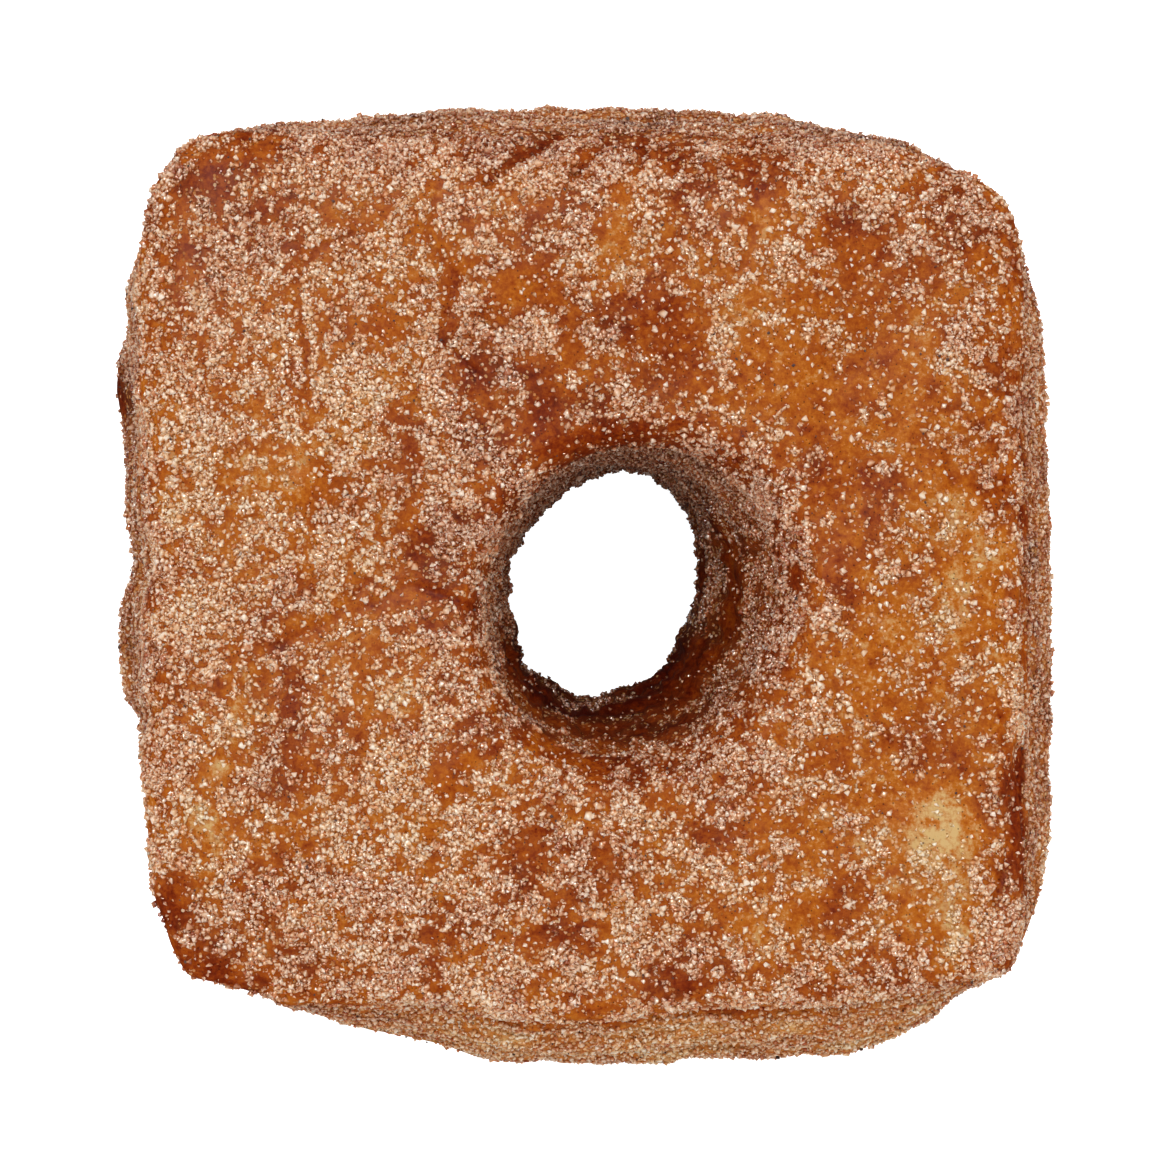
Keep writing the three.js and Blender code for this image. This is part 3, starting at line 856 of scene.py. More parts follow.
    # Darker or, below 0, paler frying
    browned: tuple[Patch, ...] = (
        Patch(7.4, 27.4, 3.2, 3.2, 0.36, 40), Patch(9.6, 21.6, 2.4, 2.4, 0.20),
        Patch(-10.6, 20.4, 3.6, 1.8, 0.22, 10), Patch(-4.8, 17.8, 2.2, 4.4, 0.22),
        Patch(-6.2, -27.2, 4.4, 3.2, 0.26, -30), Patch(-4.6, -34.2, 5.0, 2.6, 0.22),
        Patch(-13.0, -18.3, 2.2, 2.8, 0.28, 20), Patch(-31.6, -5.6, 5.0, 3.0, 0.16),
        Patch(-28.6, -17.8, 3.0, 2.4, 0.26, -30), Patch(-29.0, -11.8, 1.6, 2.4, 0.16),
        Patch(-19.4, 25.2, 2.8, 2.0, 0.14), Patch(-35.6, 41.0, 7.0, 3.0, 0.12, 24),
        Patch(-41.0, 30.0, 2.2, 8.0, 0.24, 6), Patch(-38.0, -37.4, 7.0, 2.4, 0.46, -27),
        Patch(-41.2, -30.2, 2.2, 3.8, 0.70, -20), Patch(11.0, -38.6, 5.0, 1.5, 0.26),
        Patch(12.4, -24.6, 3.0, 1.6, 0.30), Patch(23.6, -16.6, 2.4, 1.8, 0.14),
        Patch(24.6, 36.6, 2.2, 2.4, 0.24), Patch(23.4, 18.6, 2.6, 2.0, 0.12),
        Patch(41.9, -20.6, 1.1, 4.6, 0.75, 10), Patch(42.5, -27.6, 1.2, 3.6, 0.75, -6),
        Patch(35.2, -23.8, 2.4, 3.7, -0.78, 12), Patch(32.6, -25.2, 1.3, 1.0, -0.40),
        Patch(29.6, -20.6, 4.4, 3.4, -0.34), Patch(30.0, -6.4, 7.0, 3.6, -0.26),
        Patch(37.0, 2.0, 4.0, 8.0, -0.50), Patch(24.8, -6.2, 2.8, 3.0, 0.16),
        Patch(14.8, -33.4, 3.0, 3.6, -0.40), Patch(33.4, -32.6, 6.0, 4.0, -0.56),
        Patch(28.4, 22.6, 3.4, 3.4, 0.10), Patch(34.6, 10.6, 3.4, 4.4, -0.20),
        Patch(14.6, 24.6, 2.6, 6.0, -0.14), Patch(16.9, 36.0, 1.8, 3.2, -0.24),
        Patch(2.8, 35.0, 2.2, 3.8, -0.34), Patch(-15.0, 36.2, 1.8, 4.0, -0.20),
        Patch(-37.4, -23.8, 1.8, 4.6, -0.46, 24), Patch(-35.0, -17.0, 3.4, 1.8, -0.20, 10),
        Patch(-24.0, -20.0, 4.0, 3.4, -0.16), Patch(-16.0, -24.4, 2.2, 1.6, -0.24),
        Patch(-23.0, -11.6, 2.4, 2.4, -0.14), Patch(-27.0, 10.0, 7.0, 5.0, -0.22),
        Patch(-20.0, 15.0, 4.0, 5.0, -0.26), Patch(-9.6, 37.4, 2.4, 2.8, -0.16),
        Patch(-9.6, 27.0, 5.0, 2.4, -0.20), Patch(-36.0, -14.0, 6.0, 2.6, -0.16),
        Patch(-22.0, -32.6, 9.0, 4.0, -0.26), Patch(-38.0, -19.0, 6.0, 9.0, -0.24),
        Patch(-40.0, 8.0, 3.0, 8.0, -0.14), Patch(0.0, 44.6, 40.0, 3.4, 0.40),
        Patch(35.6, 28.0, 4.0, 9.0, -0.20), Patch(6.0, 24.0, 3.0, 4.0, 0.12),
        Patch(31.0, -9.4, 3.0, 3.0, -0.20), Patch(26.5, -24.5, 4.0, 5.0, -0.20),
        Patch(-14.0, 4.0, 3.6, 7.0, 0.20), Patch(-10.0, 13.0, 3.0, 3.0, 0.16),
        Patch(12.0, 21.0, 6.0, 3.6, 0.18), Patch(3.4, 41.0, 3.0, 3.0, 0.20),
        Patch(24.0, 32.8, 3.4, 3.4, 0.18), Patch(23.6, 8.6, 2.8, 2.8, 0.14),
        Patch(14.0, -20.4, 8.0, 4.6, 0.22), Patch(35.6, 13.0, 3.0, 2.6, 0.30),
        Patch(-24.0, 12.6, 4.0, 6.0, -0.12, -30), Patch(36.8, 30.8, 1.8, 3.0, 0.26),
        Patch(28.7, 5.4, 1.8, 3.2, -0.16, -30), Patch(1.5, 12.6, 9.0, 2.2, 0.14),
        Patch(2.3, 40.4, 1.8, 5.0, 0.22), Patch(6.6, 18.2, 3.0, 2.0, 0.20),
        Patch(-4.0, 33.0, 2.4, 2.4, 0.20), Patch(43.8, 20.4, 1.5, 4.0, 0.26),
        Patch(-44.6, 22.2, 2.0, 2.4, 0.32), Patch(-35.3, -21.8, 1.5, 3.2, 0.18, 20),
        Patch(-13.6, 1.6, 3.6, 2.0, 0.16, 30), Patch(5.2, 31.0, 4.6, 2.6, -0.20),
        Patch(-7.4, -25.6, 2.0, 3.2, 0.24), Patch(12.6, -22.4, 3.0, 3.0, 0.20),
        Patch(20.8, -12.0, 2.4, 2.0, 0.20), Patch(-17.8, -11.0, 2.4, 2.4, -0.28),
        Patch(31.4, -7.4, 2.0, 4.0, -0.24), Patch(23.8, -27.6, 2.4, 2.2, -0.28),
        Patch(34.4, -27.4, 5.0, 6.4, -0.18), Patch(36.6, 19.4, 3.0, 2.2, -0.28),
        Patch(-39.8, -25.4, 1.8, 2.8, -0.24), Patch(-40.4, 4.6, 2.2, 4.6, -0.18),
        Patch(33.0, -3.0, 2.2, 3.4, -0.24), Patch(39.6, -2.0, 1.6, 4.0, -0.30),
        Patch(16.0, -33.0, 8.0, 3.4, -0.22), Patch(-32.6, -28.0, 6.0, 2.6, -0.20),
        Patch(-34.6, -15.4, 3.4, 3.4, -0.26), Patch(-11.2, 36.6, 2.2, 3.4, -0.24),
        Patch(31.4, 30.6, 3.6, 4.0, -0.26), Patch(27.0, 15.6, 3.6, 3.4, -0.20),
        Patch(39.8, -29.0, 1.8, 3.0, -0.30), Patch(-23.0, -16.0, 2.6, 7.0, 0.34),
        Patch(-37.0, 24.4, 4.4, 3.4, 0.22), Patch(25.0, 28.0, 5.0, 5.0, 0.16),
        Patch(-30.0, 13.0, 6.0, 4.0, -0.20), Patch(-14.4, 29.4, 2.4, 3.4, -0.24),
        Patch(-40.6, -26.6, 2.4, 4.0, -0.24), Patch(37.0, -33.0, 4.0, 4.0, -0.20),
        Patch(-25.0, -14.6, 2.6, 5.0, 0.12), Patch(33.0, 42.6, 7.0, 2.0, 0.20),
        Patch(1.8, 15.0, 5.0, 2.2, 0.34), Patch(19.0, 1.6, 5.4, 2.0, 0.12, 90),
        Patch(12.0, 13.6, 3.0, 2.0, 0.25, -30), Patch(-4.3, -15.0, 3.0, 1.6, -0.26, -30),
    )
    creases: tuple[Crease, ...] = (
        Crease(((-28.4, 27.6), (-28.0, 31.0), (-25.8, 33.6), (-22.6, 34.6)), 0.32, 0.30),
        Crease(((-27.9, 27.4), (-27.4, 22.4), (-27.0, 18.2)), 0.30, 0.22),
        Crease(((-14.3, 39.8), (-15.9, 34.4), (-12.6, 30.2), (-14.4, 24.6), (-10.9, 21.0)), 0.35, 0.28),
        Crease(((16.4, 41.8), (16.8, 36.4), (15.2, 31.0)), 0.40, 0.25),
        Crease(((-31.2, -6.2), (-25.0, -3.2), (-21.4, 0.6)), 0.35, 0.28),
        Crease(((-22.6, -2.4), (-17.2, 0.2), (-10.8, -1.9)), 0.35, 0.25),
        Crease(((-9.9, 39.6), (-6.4, 42.0), (-2.7, 44.2)), 0.50, 0.90),
        Crease(((-1.2, 40.4), (1.2, 42.6), (3.0, 44.4)), 0.45, 0.80),
        Crease(((5.4, 41.6), (5.4, 44.6)), 0.45, 0.70),
        Crease(((43.1, 8.4), (43.2, 0.0), (43.0, -7.4)), 0.40, 0.60),
        Crease(((42.6, -16.0), (41.8, -24.0), (40.0, -31.0)), 0.60, 0.70),
        Crease(((33.4, 4.6), (36.0, 8.6), (35.2, 12.6)), 0.35, 0.22),
    )
    # How much of the top skin sugar hides, and what its places and creases add and take
    even_cover: float = 0.45
    broad_weight: float = 0.9
    bare_weight: float = 0.75
    crease_weight: float = 0.6
    top_clumps: tuple[Clumps, ...] = (Clumps(CLUMP_NOISE, 5.0, 0.14, 2), Clumps(CLUMP_NOISE, 1.7, 0.40, 2, 9))
    top_gaps: Clumps = Clumps(FINE_NOISE, 0.7, 0.50, 2)
    side_clumps: Clumps = Clumps(CLUMP_NOISE, 3.4, 0.4, 3)
    clump_flatness: float = 1.6
    under_clumps: Clumps = Clumps(CLUMP_NOISE, 3.0, 0.4, 3)
    small_gaps: Clumps = Clumps(FINE_NOISE, 0.8, 0.3, 2)
    hole_streaks: Streaks = Streaks(CLUMP_NOISE, 1.9, 1 / 1.5, 0.5)
    # Amount of sugar at the foot and underneath, and the levels between which it grows up the sides
    foot_sugar: float = 0.5
    sugar_levels: tuple[float, float] = (8, 20)
    # Amount of sugar on the upper sides and on the wall of the hole, to the east, north, west, south
    side_sugar: tuple[float, ...] = (0.95, 0.95, 1.05, 1.15)
    hole_sugar: tuple[float, ...] = (0.62, 0.78, 0.62, 0.46)
    # How dark the wall of the hole is, to the east, north, west and south: its red-brown crust with painted
    # shade, most to the north
    hole_tone_and_shade: tuple[float, ...] = (0.66, 1.0, 0.74, 0.78)
    # Browning of the top skin: even tone, darker places, their widths and edges, and painted shade in the
    # folds and round the hole's rim
    even_bake: float = 0.43
    darker_bake: float = 0.20
    wavy_bake: float = 0.12
    tone_widths: tuple[float, float, float] = (11.0, 3.6, 0.9)
    wide_share: float = 0.55
    dark_edge: float = 0.32
    browned_weight: float = 0.55
    fold_shade: float = 0.1
    rim_shade: float = 0.24
    rim_wide: float = 2.6
    darkest_top: float = 0.78
    # Browning of the sides: even tone, crests, streaks, and what each side adds high up
    side_tone: float = 0.36
    crest_bake: float = 0.18
    side_streaks: Streaks = Streaks(TONE_NOISE, 12, 1.6, 0.40)
    side_places: Clumps = Clumps(TONE_NOISE, 9.0, 0.22, 2)
    turned: tuple[float, ...] = (0.16, 0.30, 0.16, -0.16)
    turned_levels: tuple[float, float] = (20, 30)
    blister_bake: float = 0.4
    palest_side: float = 0.17
    # Browning of the hole: streaks round it, and painted shade that grows darker the deeper it is
    wall_streaks: Streaks = Streaks(TONE_NOISE, 1.6, 1 / 1.3, 0.42)
    deep_shade: float = 0.22
    deep_levels: tuple[float, float] = (32, 18)
    side_bare: tuple[Spot, ...] = (
        Spot(157.8, 24, 4.4, 8, -0.9), Spot(182.8, 21, 1.6, 6, -0.8), Spot(193.6, 23, 1.2, 3, -0.8),
        Spot(138.8, 26, 2.0, 5, -0.6), Spot(214.9, 30, 3.6, 7, -1.0), Spot(238.0, 30, 8.0, 8, -0.35),
        Spot(226.0, 34, 9.0, 6, -0.9), Spot(12.0, 33, 14.0, 2.0, -0.3), Spot(110.0, 27, 3.0, 6, -0.4),
        Spot(82.0, 29, 2.6, 5, -0.4),
    )
    hole_bare: tuple[Spot, ...] = (
        Spot(358, 27.5, 30, 2.6, -0.75), Spot(8, 17.5, 26, 2.6, -0.30), Spot(318, 25.0, 24, 4.5, -0.60),
        Spot(305, 18.5, 30, 3.4, -0.55), Spot(272, 31.0, 30, 2.2, -0.55),
        Spot(268, 24.4, 34, 2.6, -0.60), Spot(224, 26.0, 16, 6.0, -0.70),
        Spot(205, 17.0, 24, 4.0, -0.40),
    )
    # Strength of the painted shadow line below the lip, under its overhang, to the east, north, west and
    # south, and its level; the line takes sugar away and darkens the crust
    lip_shadow_strength: tuple[float, ...] = (0.35, 0.0, 0.3, 0.85)
    lip_shadow_level: float = 36.7
    lip_shadow_high: float = 0.7
    lip_shadow_bare: float = 0.8
    lip_shadow_dark: float = 0.4
    # Levels between which the top skin turns into the sides, and the sides into the underside
    skin_ends: tuple[float, float] = (37.4, 33.4)
    foot_ends: tuple[float, float] = (3.0, 0.5)
    # Middle of the hole, and how far from it the outer side begins to count
    hole_middle: tuple[float, float] = (2.5, 0.0)
    hole_reach: float = 28.0
    rim: Oval = Oval(5.2, -1.7, 15.4, 14.0)

    def cover(self, place: Array) -> Array:
        """How much of the crust the sugar hides, from 0 to 1, at any place in millimetres.

        Args:
            place: Places in millimetres.

        Returns:
            The cover at each place.
        """
        surfaces = (self.top_cover, self.side_cover, self.hole_cover, self.under_cover)
        joined = self.joined(place, np.zeros(place.shape[:-1]), surfaces)
        # Less sugar along the painted shadow below the lip
        return np.clip(joined - self.lip_shadow_bare * self.lip_shadow_line(place), 0, 1)

    def bake(self, place: Array, layer: Array) -> Array:
        """How dark the dough has fried, with painted shade below the lip, in the folds, round the hole's rim
        and in the hole, from 0 for blond to 1 for dark brown.

        Args:
            place: Places in millimetres.
            layer: How far down its layers each place lies.

        Returns:
            The browning at each place.
        """
        surfaces = (self.top_bake_and_shade, self.side_bake, self.wall_bake_and_shade, self.mottled)
        joined = self.joined(place, layer, surfaces)
        # Darker crust along the painted shadow below the lip
        return np.clip(joined + self.lip_shadow_dark * self.lip_shadow_line(place), 0, 1)

    def lip_shadow_line(self, place: Array) -> Array:
        """The painted shadow line below the lip, dark and bare of sugar, where the top skin ends: up to 1 in
        its middle.

        Args:
            place: Places in millimetres.

        Returns:
            The line's share at each place.
        """
        strength = around(self.lip_shadow_strength, np.arctan2(place[..., 1], place[..., 0]), 0)
        fade = np.exp(-(((place[..., 2] - self.lip_shadow_level) / self.lip_shadow_high) ** 2))
        return np.where(self.in_hole(place), 0, strength * fade)

    def joined(self, place: Array, layer: Array, surfaces: Sequence[Callable]) -> Array:
        """Joins the maps of the top, the outer side, the hole and the underside without a seam.

        Args:
            place: Places in millimetres.
            layer: How far down its layers each place lies.
            surfaces: The four maps, each a function of place and layer.

        Returns:
            The joined map, from 0 to 1.
        """
        level, inside = place[..., 2], self.in_hole(place)
        under = self.under(level)
        down = self.down(level) * (1 - under)
        shares = (1 - down - under, np.where(inside, 0, down), np.where(inside, down, 0), under)
        total = np.zeros(level.shape)
        for share, surface in zip(shares, surfaces):
            here = share > 0
            total[here] += share[here] * surface(place[here], layer[here])
        return np.clip(total, 0, 1)

    def down(self, level: Array) -> Array:
        """0 on the top skin, rising to 1 a few millimetres down the sides and the hole."""
        return smoothstep(-level, -self.skin_ends[0], -self.skin_ends[1])

    def under(self, level: Array) -> Array:
        """0 above the foot, rising to 1 on the underside."""
        return smoothstep(-level, -self.foot_ends[0], -self.foot_ends[1])

    def in_hole(self, place: Array) -> Array:
        """Whether each place counts to the hole and not to the outer side."""
        return self.from_hole(place) < self.hole_reach

    def from_hole(self, place: Array) -> Array:
        """Distance of each place from the middle of the hole, seen from above."""
        return np.hypot(place[..., 0] - self.hole_middle[0], place[..., 1] - self.hole_middle[1])

    def round_hole(self, place: Array) -> Array:
        """Bearing of each place from the middle of the hole."""
        return np.arctan2(place[..., 1] - self.hole_middle[1], place[..., 0] - self.hole_middle[0])

    def under_cover(self, place: Array, _: Array) -> Array:
        """Sugar on the underside: even clumps."""
        return self.foot_sugar + self.under_clumps.at(place) + self.small_gaps.at(place)

    def top_cover(self, place: Array, _: Array) -> Array:
        """Sugar on the top skin: large places, clumps of a few millimetres and single gaps.

        Args:
            place: Places in millimetres.
            _: Not used here.

        Returns:
            The cover at each place.
        """
        x, y = place[..., 0], place[..., 1]
        mean = self.even_cover + self.broad_weight * patched(self.broad, x, y)
        mean = mean + self.bare_weight * patched(self.bare, x, y)
        for crease in self.creases:
            mean = mean - self.crease_weight * crease.at(x, y)
        clumps = sum(clumps.at(place) for clumps in self.top_clumps)
        return mean + clumps + self.top_gaps.at(place)

    def side_cover(self, place: Array, _: Array) -> Array:
        """Sugar on the outer side: more high up, and little on the blisters.

        Args:
            place: Places in millimetres.
            _: Not used here.

        Returns:
            The cover at each place.
        """
        bearing, level = np.arctan2(place[..., 1], place[..., 0]), place[..., 2]
        clumps = self.side_clumps.at(place * np.array([1, 1, self.clump_flatness]))
        higher = smoothstep(level, *self.sugar_levels)
        sugar = lerp(self.foot_sugar, around(self.side_sugar, bearing, 0), higher)
        return sugar + patched(self.side_bare, bearing, level) + clumps + self.small_gaps.at(place)

    def hole_cover(self, place: Array, _: Array) -> Array:
        """Sugar in the hole: thick to the north, and in thin streaks to the east and south.

        Args:
            place: Places in millimetres.
            _: Not used here.

        Returns:
            The cover at each place.
        """
        bearing, level = self.round_hole(place), place[..., 2]
        sugar = around(self.hole_sugar, bearing, 0) + patched(self.hole_bare, bearing, level)
        return sugar + self.hole_streaks.at(bearing, level) + self.small_gaps.at(place)

    def mottled(self, place: Array, _: Array) -> Array:
        """Browning of a flat skin: amber, with red-brown places whose edges are fairly crisp.

        Args:
            place: Places in millimetres.
            _: Not used here.

        Returns:
            The browning at each place.
        """
        widest, middling, finest = self.tone_widths
        wide = TONE_NOISE.rough(place / widest, 2)
        small = TONE_NOISE.rough(place / middling + 31, 3)
        fine = FINE_NOISE.rough(place / finest + 5, 2)
        darker = smoothstep(self.wide_share * wide + small, 0.0, self.dark_edge)
        return self.even_bake + self.darker_bake * darker + self.wavy_bake * wide + self.wavy_bake * fine

    def top_bake_and_shade(self, place: Array, layer: Array) -> Array:
        """Browning of the top skin, with painted shade in its folds and round the hole's rim.

        Args:
            place: Places in millimetres.
            layer: How far down its layers each place lies.

        Returns:
            The browning at each place.
        """
        x, y = place[..., 0], place[..., 1]
        # Painted shade in the folds and round the hole's rim
        folds = sum((crease.at(x, y) for crease in self.creases), np.zeros_like(x))
        rim = np.exp(-((np.maximum(self.past_rim(x, y), 0) / self.rim_wide) ** 2))
        bake = self.mottled(place, layer) + self.browned_weight * patched(self.browned, x, y)
        return np.clip(bake + self.fold_shade * folds + self.rim_shade * rim, 0.0, self.darkest_top)

    def past_rim(self, x: Array, y: Array) -> Array:
        """Distance outwards from the hole's rim, below 0 inside it.

        Args:
            x: Distance to the east.
            y: Distance to the north.

        Returns:
            The distance at each place.
        """
        oval = self.rim
        turn = math.radians(oval.turn_deg)
        u = (x - oval.x) * math.cos(turn) + (y - oval.y) * math.sin(turn)
        v = (y - oval.y) * math.cos(turn) - (x - oval.x) * math.sin(turn)
        return (np.hypot(u / oval.long, v / oval.short) - 1) * oval.long

    def side_bake(self, place: Array, layer: Array) -> Array:
        """Browning of the layers: crests are brown, grooves between them paler, and high up the south paler
        and the other sides darker, the north most.

        Args:
            place: Places in millimetres.
            layer: How far down its layers each place lies.

        Returns:
            The browning at each place.
        """
        bearing, level = np.arctan2(place[..., 1], place[..., 0]), place[..., 2]
        crest = np.sqrt(np.abs(np.sin(np.pi * layer)))
        turned = smoothstep(level, *self.turned_levels) * around(self.turned, bearing, 0)
        blisters = -self.blister_bake * patched(self.side_bare, bearing, level)
        uneven = self.side_streaks.at(bearing, layer) + self.side_places.at(place)
        baked = self.side_tone + self.crest_bake * crest + uneven + turned + blisters
        return np.maximum(baked, self.palest_side)

    def wall_bake_and_shade(self, place: Array, _: Array) -> Array:
        """Browning in the hole: red-brown, with streaks round it that are paler or nearly black, and painted
        shade that darkens it deeper down and most to the north.

        Args:
            place: Places in millimetres.
            _: Not used here.

        Returns:
            The browning at each place.
        """
        bearing, level = self.round_hole(place), place[..., 2]
        # Painted shade: darker the deeper it lies, and most on the north wall
        deep = smoothstep(-level, -self.deep_levels[0], -self.deep_levels[1])
        even = around(self.hole_tone_and_shade, bearing, 0) + self.deep_shade * deep
        return even + self.wall_streaks.at(bearing, level)


# Materials


# Places on the browning scale of the five tones of a fried crust
BAKE_PLACES = (0.0, 0.28, 0.5, 0.74, 1.0)


class NodeDesk:
    """The node tree of a new material or world, with one way to add a node."""

    def __init__(self, owner: bpy.types.Material | bpy.types.World) -> None:
        """Takes a new material or world and clears its nodes.

        Args:
            owner: The new material or world.
        """
        owner.use_nodes = True
        self.owner = owner
        self.tree = owner.node_tree
        self.tree.nodes.clear()

    def add(self, kind: str, settings: dict | None = None, inputs: dict | None = None) -> bpy.types.Node:
        """Adds a node.

        Args:
            kind: The node's type name in Blender.
            settings: Attributes of the node to set.
            inputs: Socket name or number to a value, or to an output socket that it links to.

        Returns:
            The new node.
        """
        node = self.tree.nodes.new(kind)
        for key, value in (settings or {}).items():
            setattr(node, key, value)
        for key, value in (inputs or {}).items():
            if isinstance(value, bpy.types.NodeSocket):
                self.tree.links.new(value, node.inputs[key])
            else:
                node.inputs[key].default_value = value
        return node

    def ramp(
        self, fac: bpy.types.NodeSocket, places: Sequence[float], colours: Sequence[str | float]
    ) -> bpy.types.NodeSocket:
        """Adds a colour ramp.

        Args:
            fac: What drives the ramp.
            places: Where each colour lies, from 0 to 1.
            colours: The colours, as hex or as the brightness of a white light.

        Returns:
            The ramp's colour socket.
        """
        node = self.add("ShaderNodeValToRGB", inputs={"Fac": fac})
        elements = node.color_ramp.elements
        while len(elements) < len(places):
            elements.new(0.5)
        for element, place, colour in zip(elements, places, colours):
            element.position = place
            element.color = linear(colour) if isinstance(colour, str) else (colour, colour, colour, 1)
        return node.outputs["Color"]


@dataclass(frozen=True)
class FriedDough:
    """Laminated dough, deep fried: a thin, oily, faintly see-through crust.

    To the eye it is amber to red-brown with soft edges between tones, dull where it is dusted and
    with a broad soft shine where it is bare. Its skin has pores about 0.4 mm apart. Cinnamon shows
    as dark flecks of 0.1 to 0.2 mm, and sugar dust as pale cells of about 0.35 mm.
    """

    # From blond over amber, caramel and red-brown to dark brown
    tones: tuple[str, ...] = ("#d2ae74", "#ba681a", "#a04a10", "#7e2c0a", "#501206")
    dust: tuple[str, ...] = ("#a65c26", "#cc9058", "#ecc8a0")
    syrup: str = "#c88448"
    cinnamon: str = "#2c130b"
    # Widths in millimetres of the mottling, the pores, a cell of dust and the room of a fleck
    mottle_mm: float = 1.3
    pore_mm: float = 0.4
    dust_mm: float = 0.34
    fleck_mm: float = 0.6
    # How much the pores change the tone, and what keeps its mean where it is
    pore_tone: float = 0.7
    tone_offset: float = 0.35
    # Edge of a grain of dust and of a fleck, from outside inwards, in cells
    dust_edge: tuple[float, float] = (0.62, 0.42)
    fleck_edge: tuple[float, float] = (0.18, 0.09)
    # How much sugar syrup, dust and cinnamon hide of the crust
    syrup_share: float = 0.25
    dust_share: float = 0.8
    cinnamon_share: float = 0.75
    roughness: float = 0.42
    dusty_roughness: float = 0.62

    def build(self) -> bpy.types.Material:
        """Builds the material.

        Returns:
            The material.
        """
        desk = NodeDesk(bpy.data.materials.new("fried_laminated_dough"))
        add = desk.add
        where = add("ShaderNodeTexCoord").outputs["Object"]
        bake = add("ShaderNodeAttribute", {"attribute_name": "bake"}).outputs["Fac"]
        film = add("ShaderNodeAttribute", {"attribute_name": "film"}).outputs["Fac"]
        wavy, fine = {"Scale": 1 / (self.mottle_mm * MM)}, {"Scale": 1 / (self.pore_mm * MM)}
        wavy |= {"Vector": where, "Detail": 6.0, "Roughness": 0.7}
        fine |= {"Vector": where, "Detail": 3.0, "Roughness": 0.65}
        mottle = add("ShaderNodeTexNoise", inputs=wavy).outputs["Fac"]
        pores = add("ShaderNodeTexNoise", inputs=fine).outputs["Fac"]
        joined = {"operation": "MULTIPLY_ADD"}
        uneven = add("ShaderNodeMath", joined, {0: mottle, 1: 1.0, 2: -0.5})
        pitted = add("ShaderNodeMath", joined, {0: pores, 1: self.pore_tone, 2: uneven.outputs[0]})
        lower = {0: pitted.outputs[0], 1: self.tone_offset}
        level = add("ShaderNodeMath", {"operation": "SUBTRACT"}, lower)
        tone = add("ShaderNodeMath", {"operation": "ADD"}, {0: bake, 1: level.outputs[0]})
        crust = desk.ramp(tone.outputs[0], BAKE_PLACES, self.tones)

        nearest, softly = {"feature": "F1"}, {"interpolation_type": "SMOOTHSTEP"}
        product = {"operation": "MULTIPLY"}
        cells = add("ShaderNodeTexVoronoi", nearest, {"Vector": where, "Scale": 1 / (self.dust_mm * MM)})
        pick = add("ShaderNodeSeparateColor", inputs={"Color": cells.outputs["Color"]})
        lying = add("ShaderNodeMath", {"operation": "LESS_THAN"}, {0: pick.outputs["Red"], 1: film})
        outer, inner = self.dust_edge
        edge = {"Value": cells.outputs["Distance"], "From Min": outer, "From Max": inner}
        near = add("ShaderNodeMapRange", softly, edge)
        dusted = add("ShaderNodeMath", product, {0: lying.outputs[0], 1: near.outputs[0]})
        dust = desk.ramp(pick.outputs["Green"], (0.0, 0.5, 1.0), self.dust)
        specks = add("ShaderNodeTexVoronoi", nearest, {"Vector": where, "Scale": 1 / (self.fleck_mm * MM)})
        outer, inner = self.fleck_edge
        edge = {"Value": specks.outputs["Distance"], "From Min": outer, "From Max": inner}
        fleck = add("ShaderNodeMapRange", softly, edge)

        colour = crust
        for share, amount, over in (
            (film, self.syrup_share, linear(self.syrup)),
            (dusted.outputs[0], self.dust_share, dust),
            (fleck.outputs[0], self.cinnamon_share, linear(self.cinnamon)),
        ):
            thin = add("ShaderNodeMath", product, {0: share, 1: amount})
            mixed = {"Factor": thin.outputs[0], "A": colour, "B": over}
            colour = add("ShaderNodeMix", {"data_type": "RGBA"}, mixed).outputs["Result"]
        pits = {"Height": pores, "Strength": 0.35, "Distance": 0.12 * MM}
        skin = add("ShaderNodeBump", inputs=pits)
        dots = {"Height": dusted.outputs[0], "Strength": 0.6, "Distance": 0.15 * MM}
        grainy = add("ShaderNodeBump", inputs={**dots, "Normal": skin.outputs["Normal"]})
        gloss = {"Value": dusted.outputs[0], "To Min": self.roughness, "To Max": self.dusty_roughness}
        shine = add("ShaderNodeMapRange", inputs=gloss)
        shader = add(
            "ShaderNodeBsdfPrincipled",
            inputs={
                "Base Color": colour,
                "Roughness": shine.outputs[0],
                "Normal": grainy.outputs["Normal"],
                "IOR": 1.46,
                "Specular IOR Level": 0.02,
                "Subsurface Weight": 0.12,
                "Subsurface Radius": (1.0, 0.42, 0.16),
                "Subsurface Scale": 0.8 * MM,
            },
        )
        add("ShaderNodeOutputMaterial", inputs={"Surface": shader.outputs[0]})
        return desk.owner


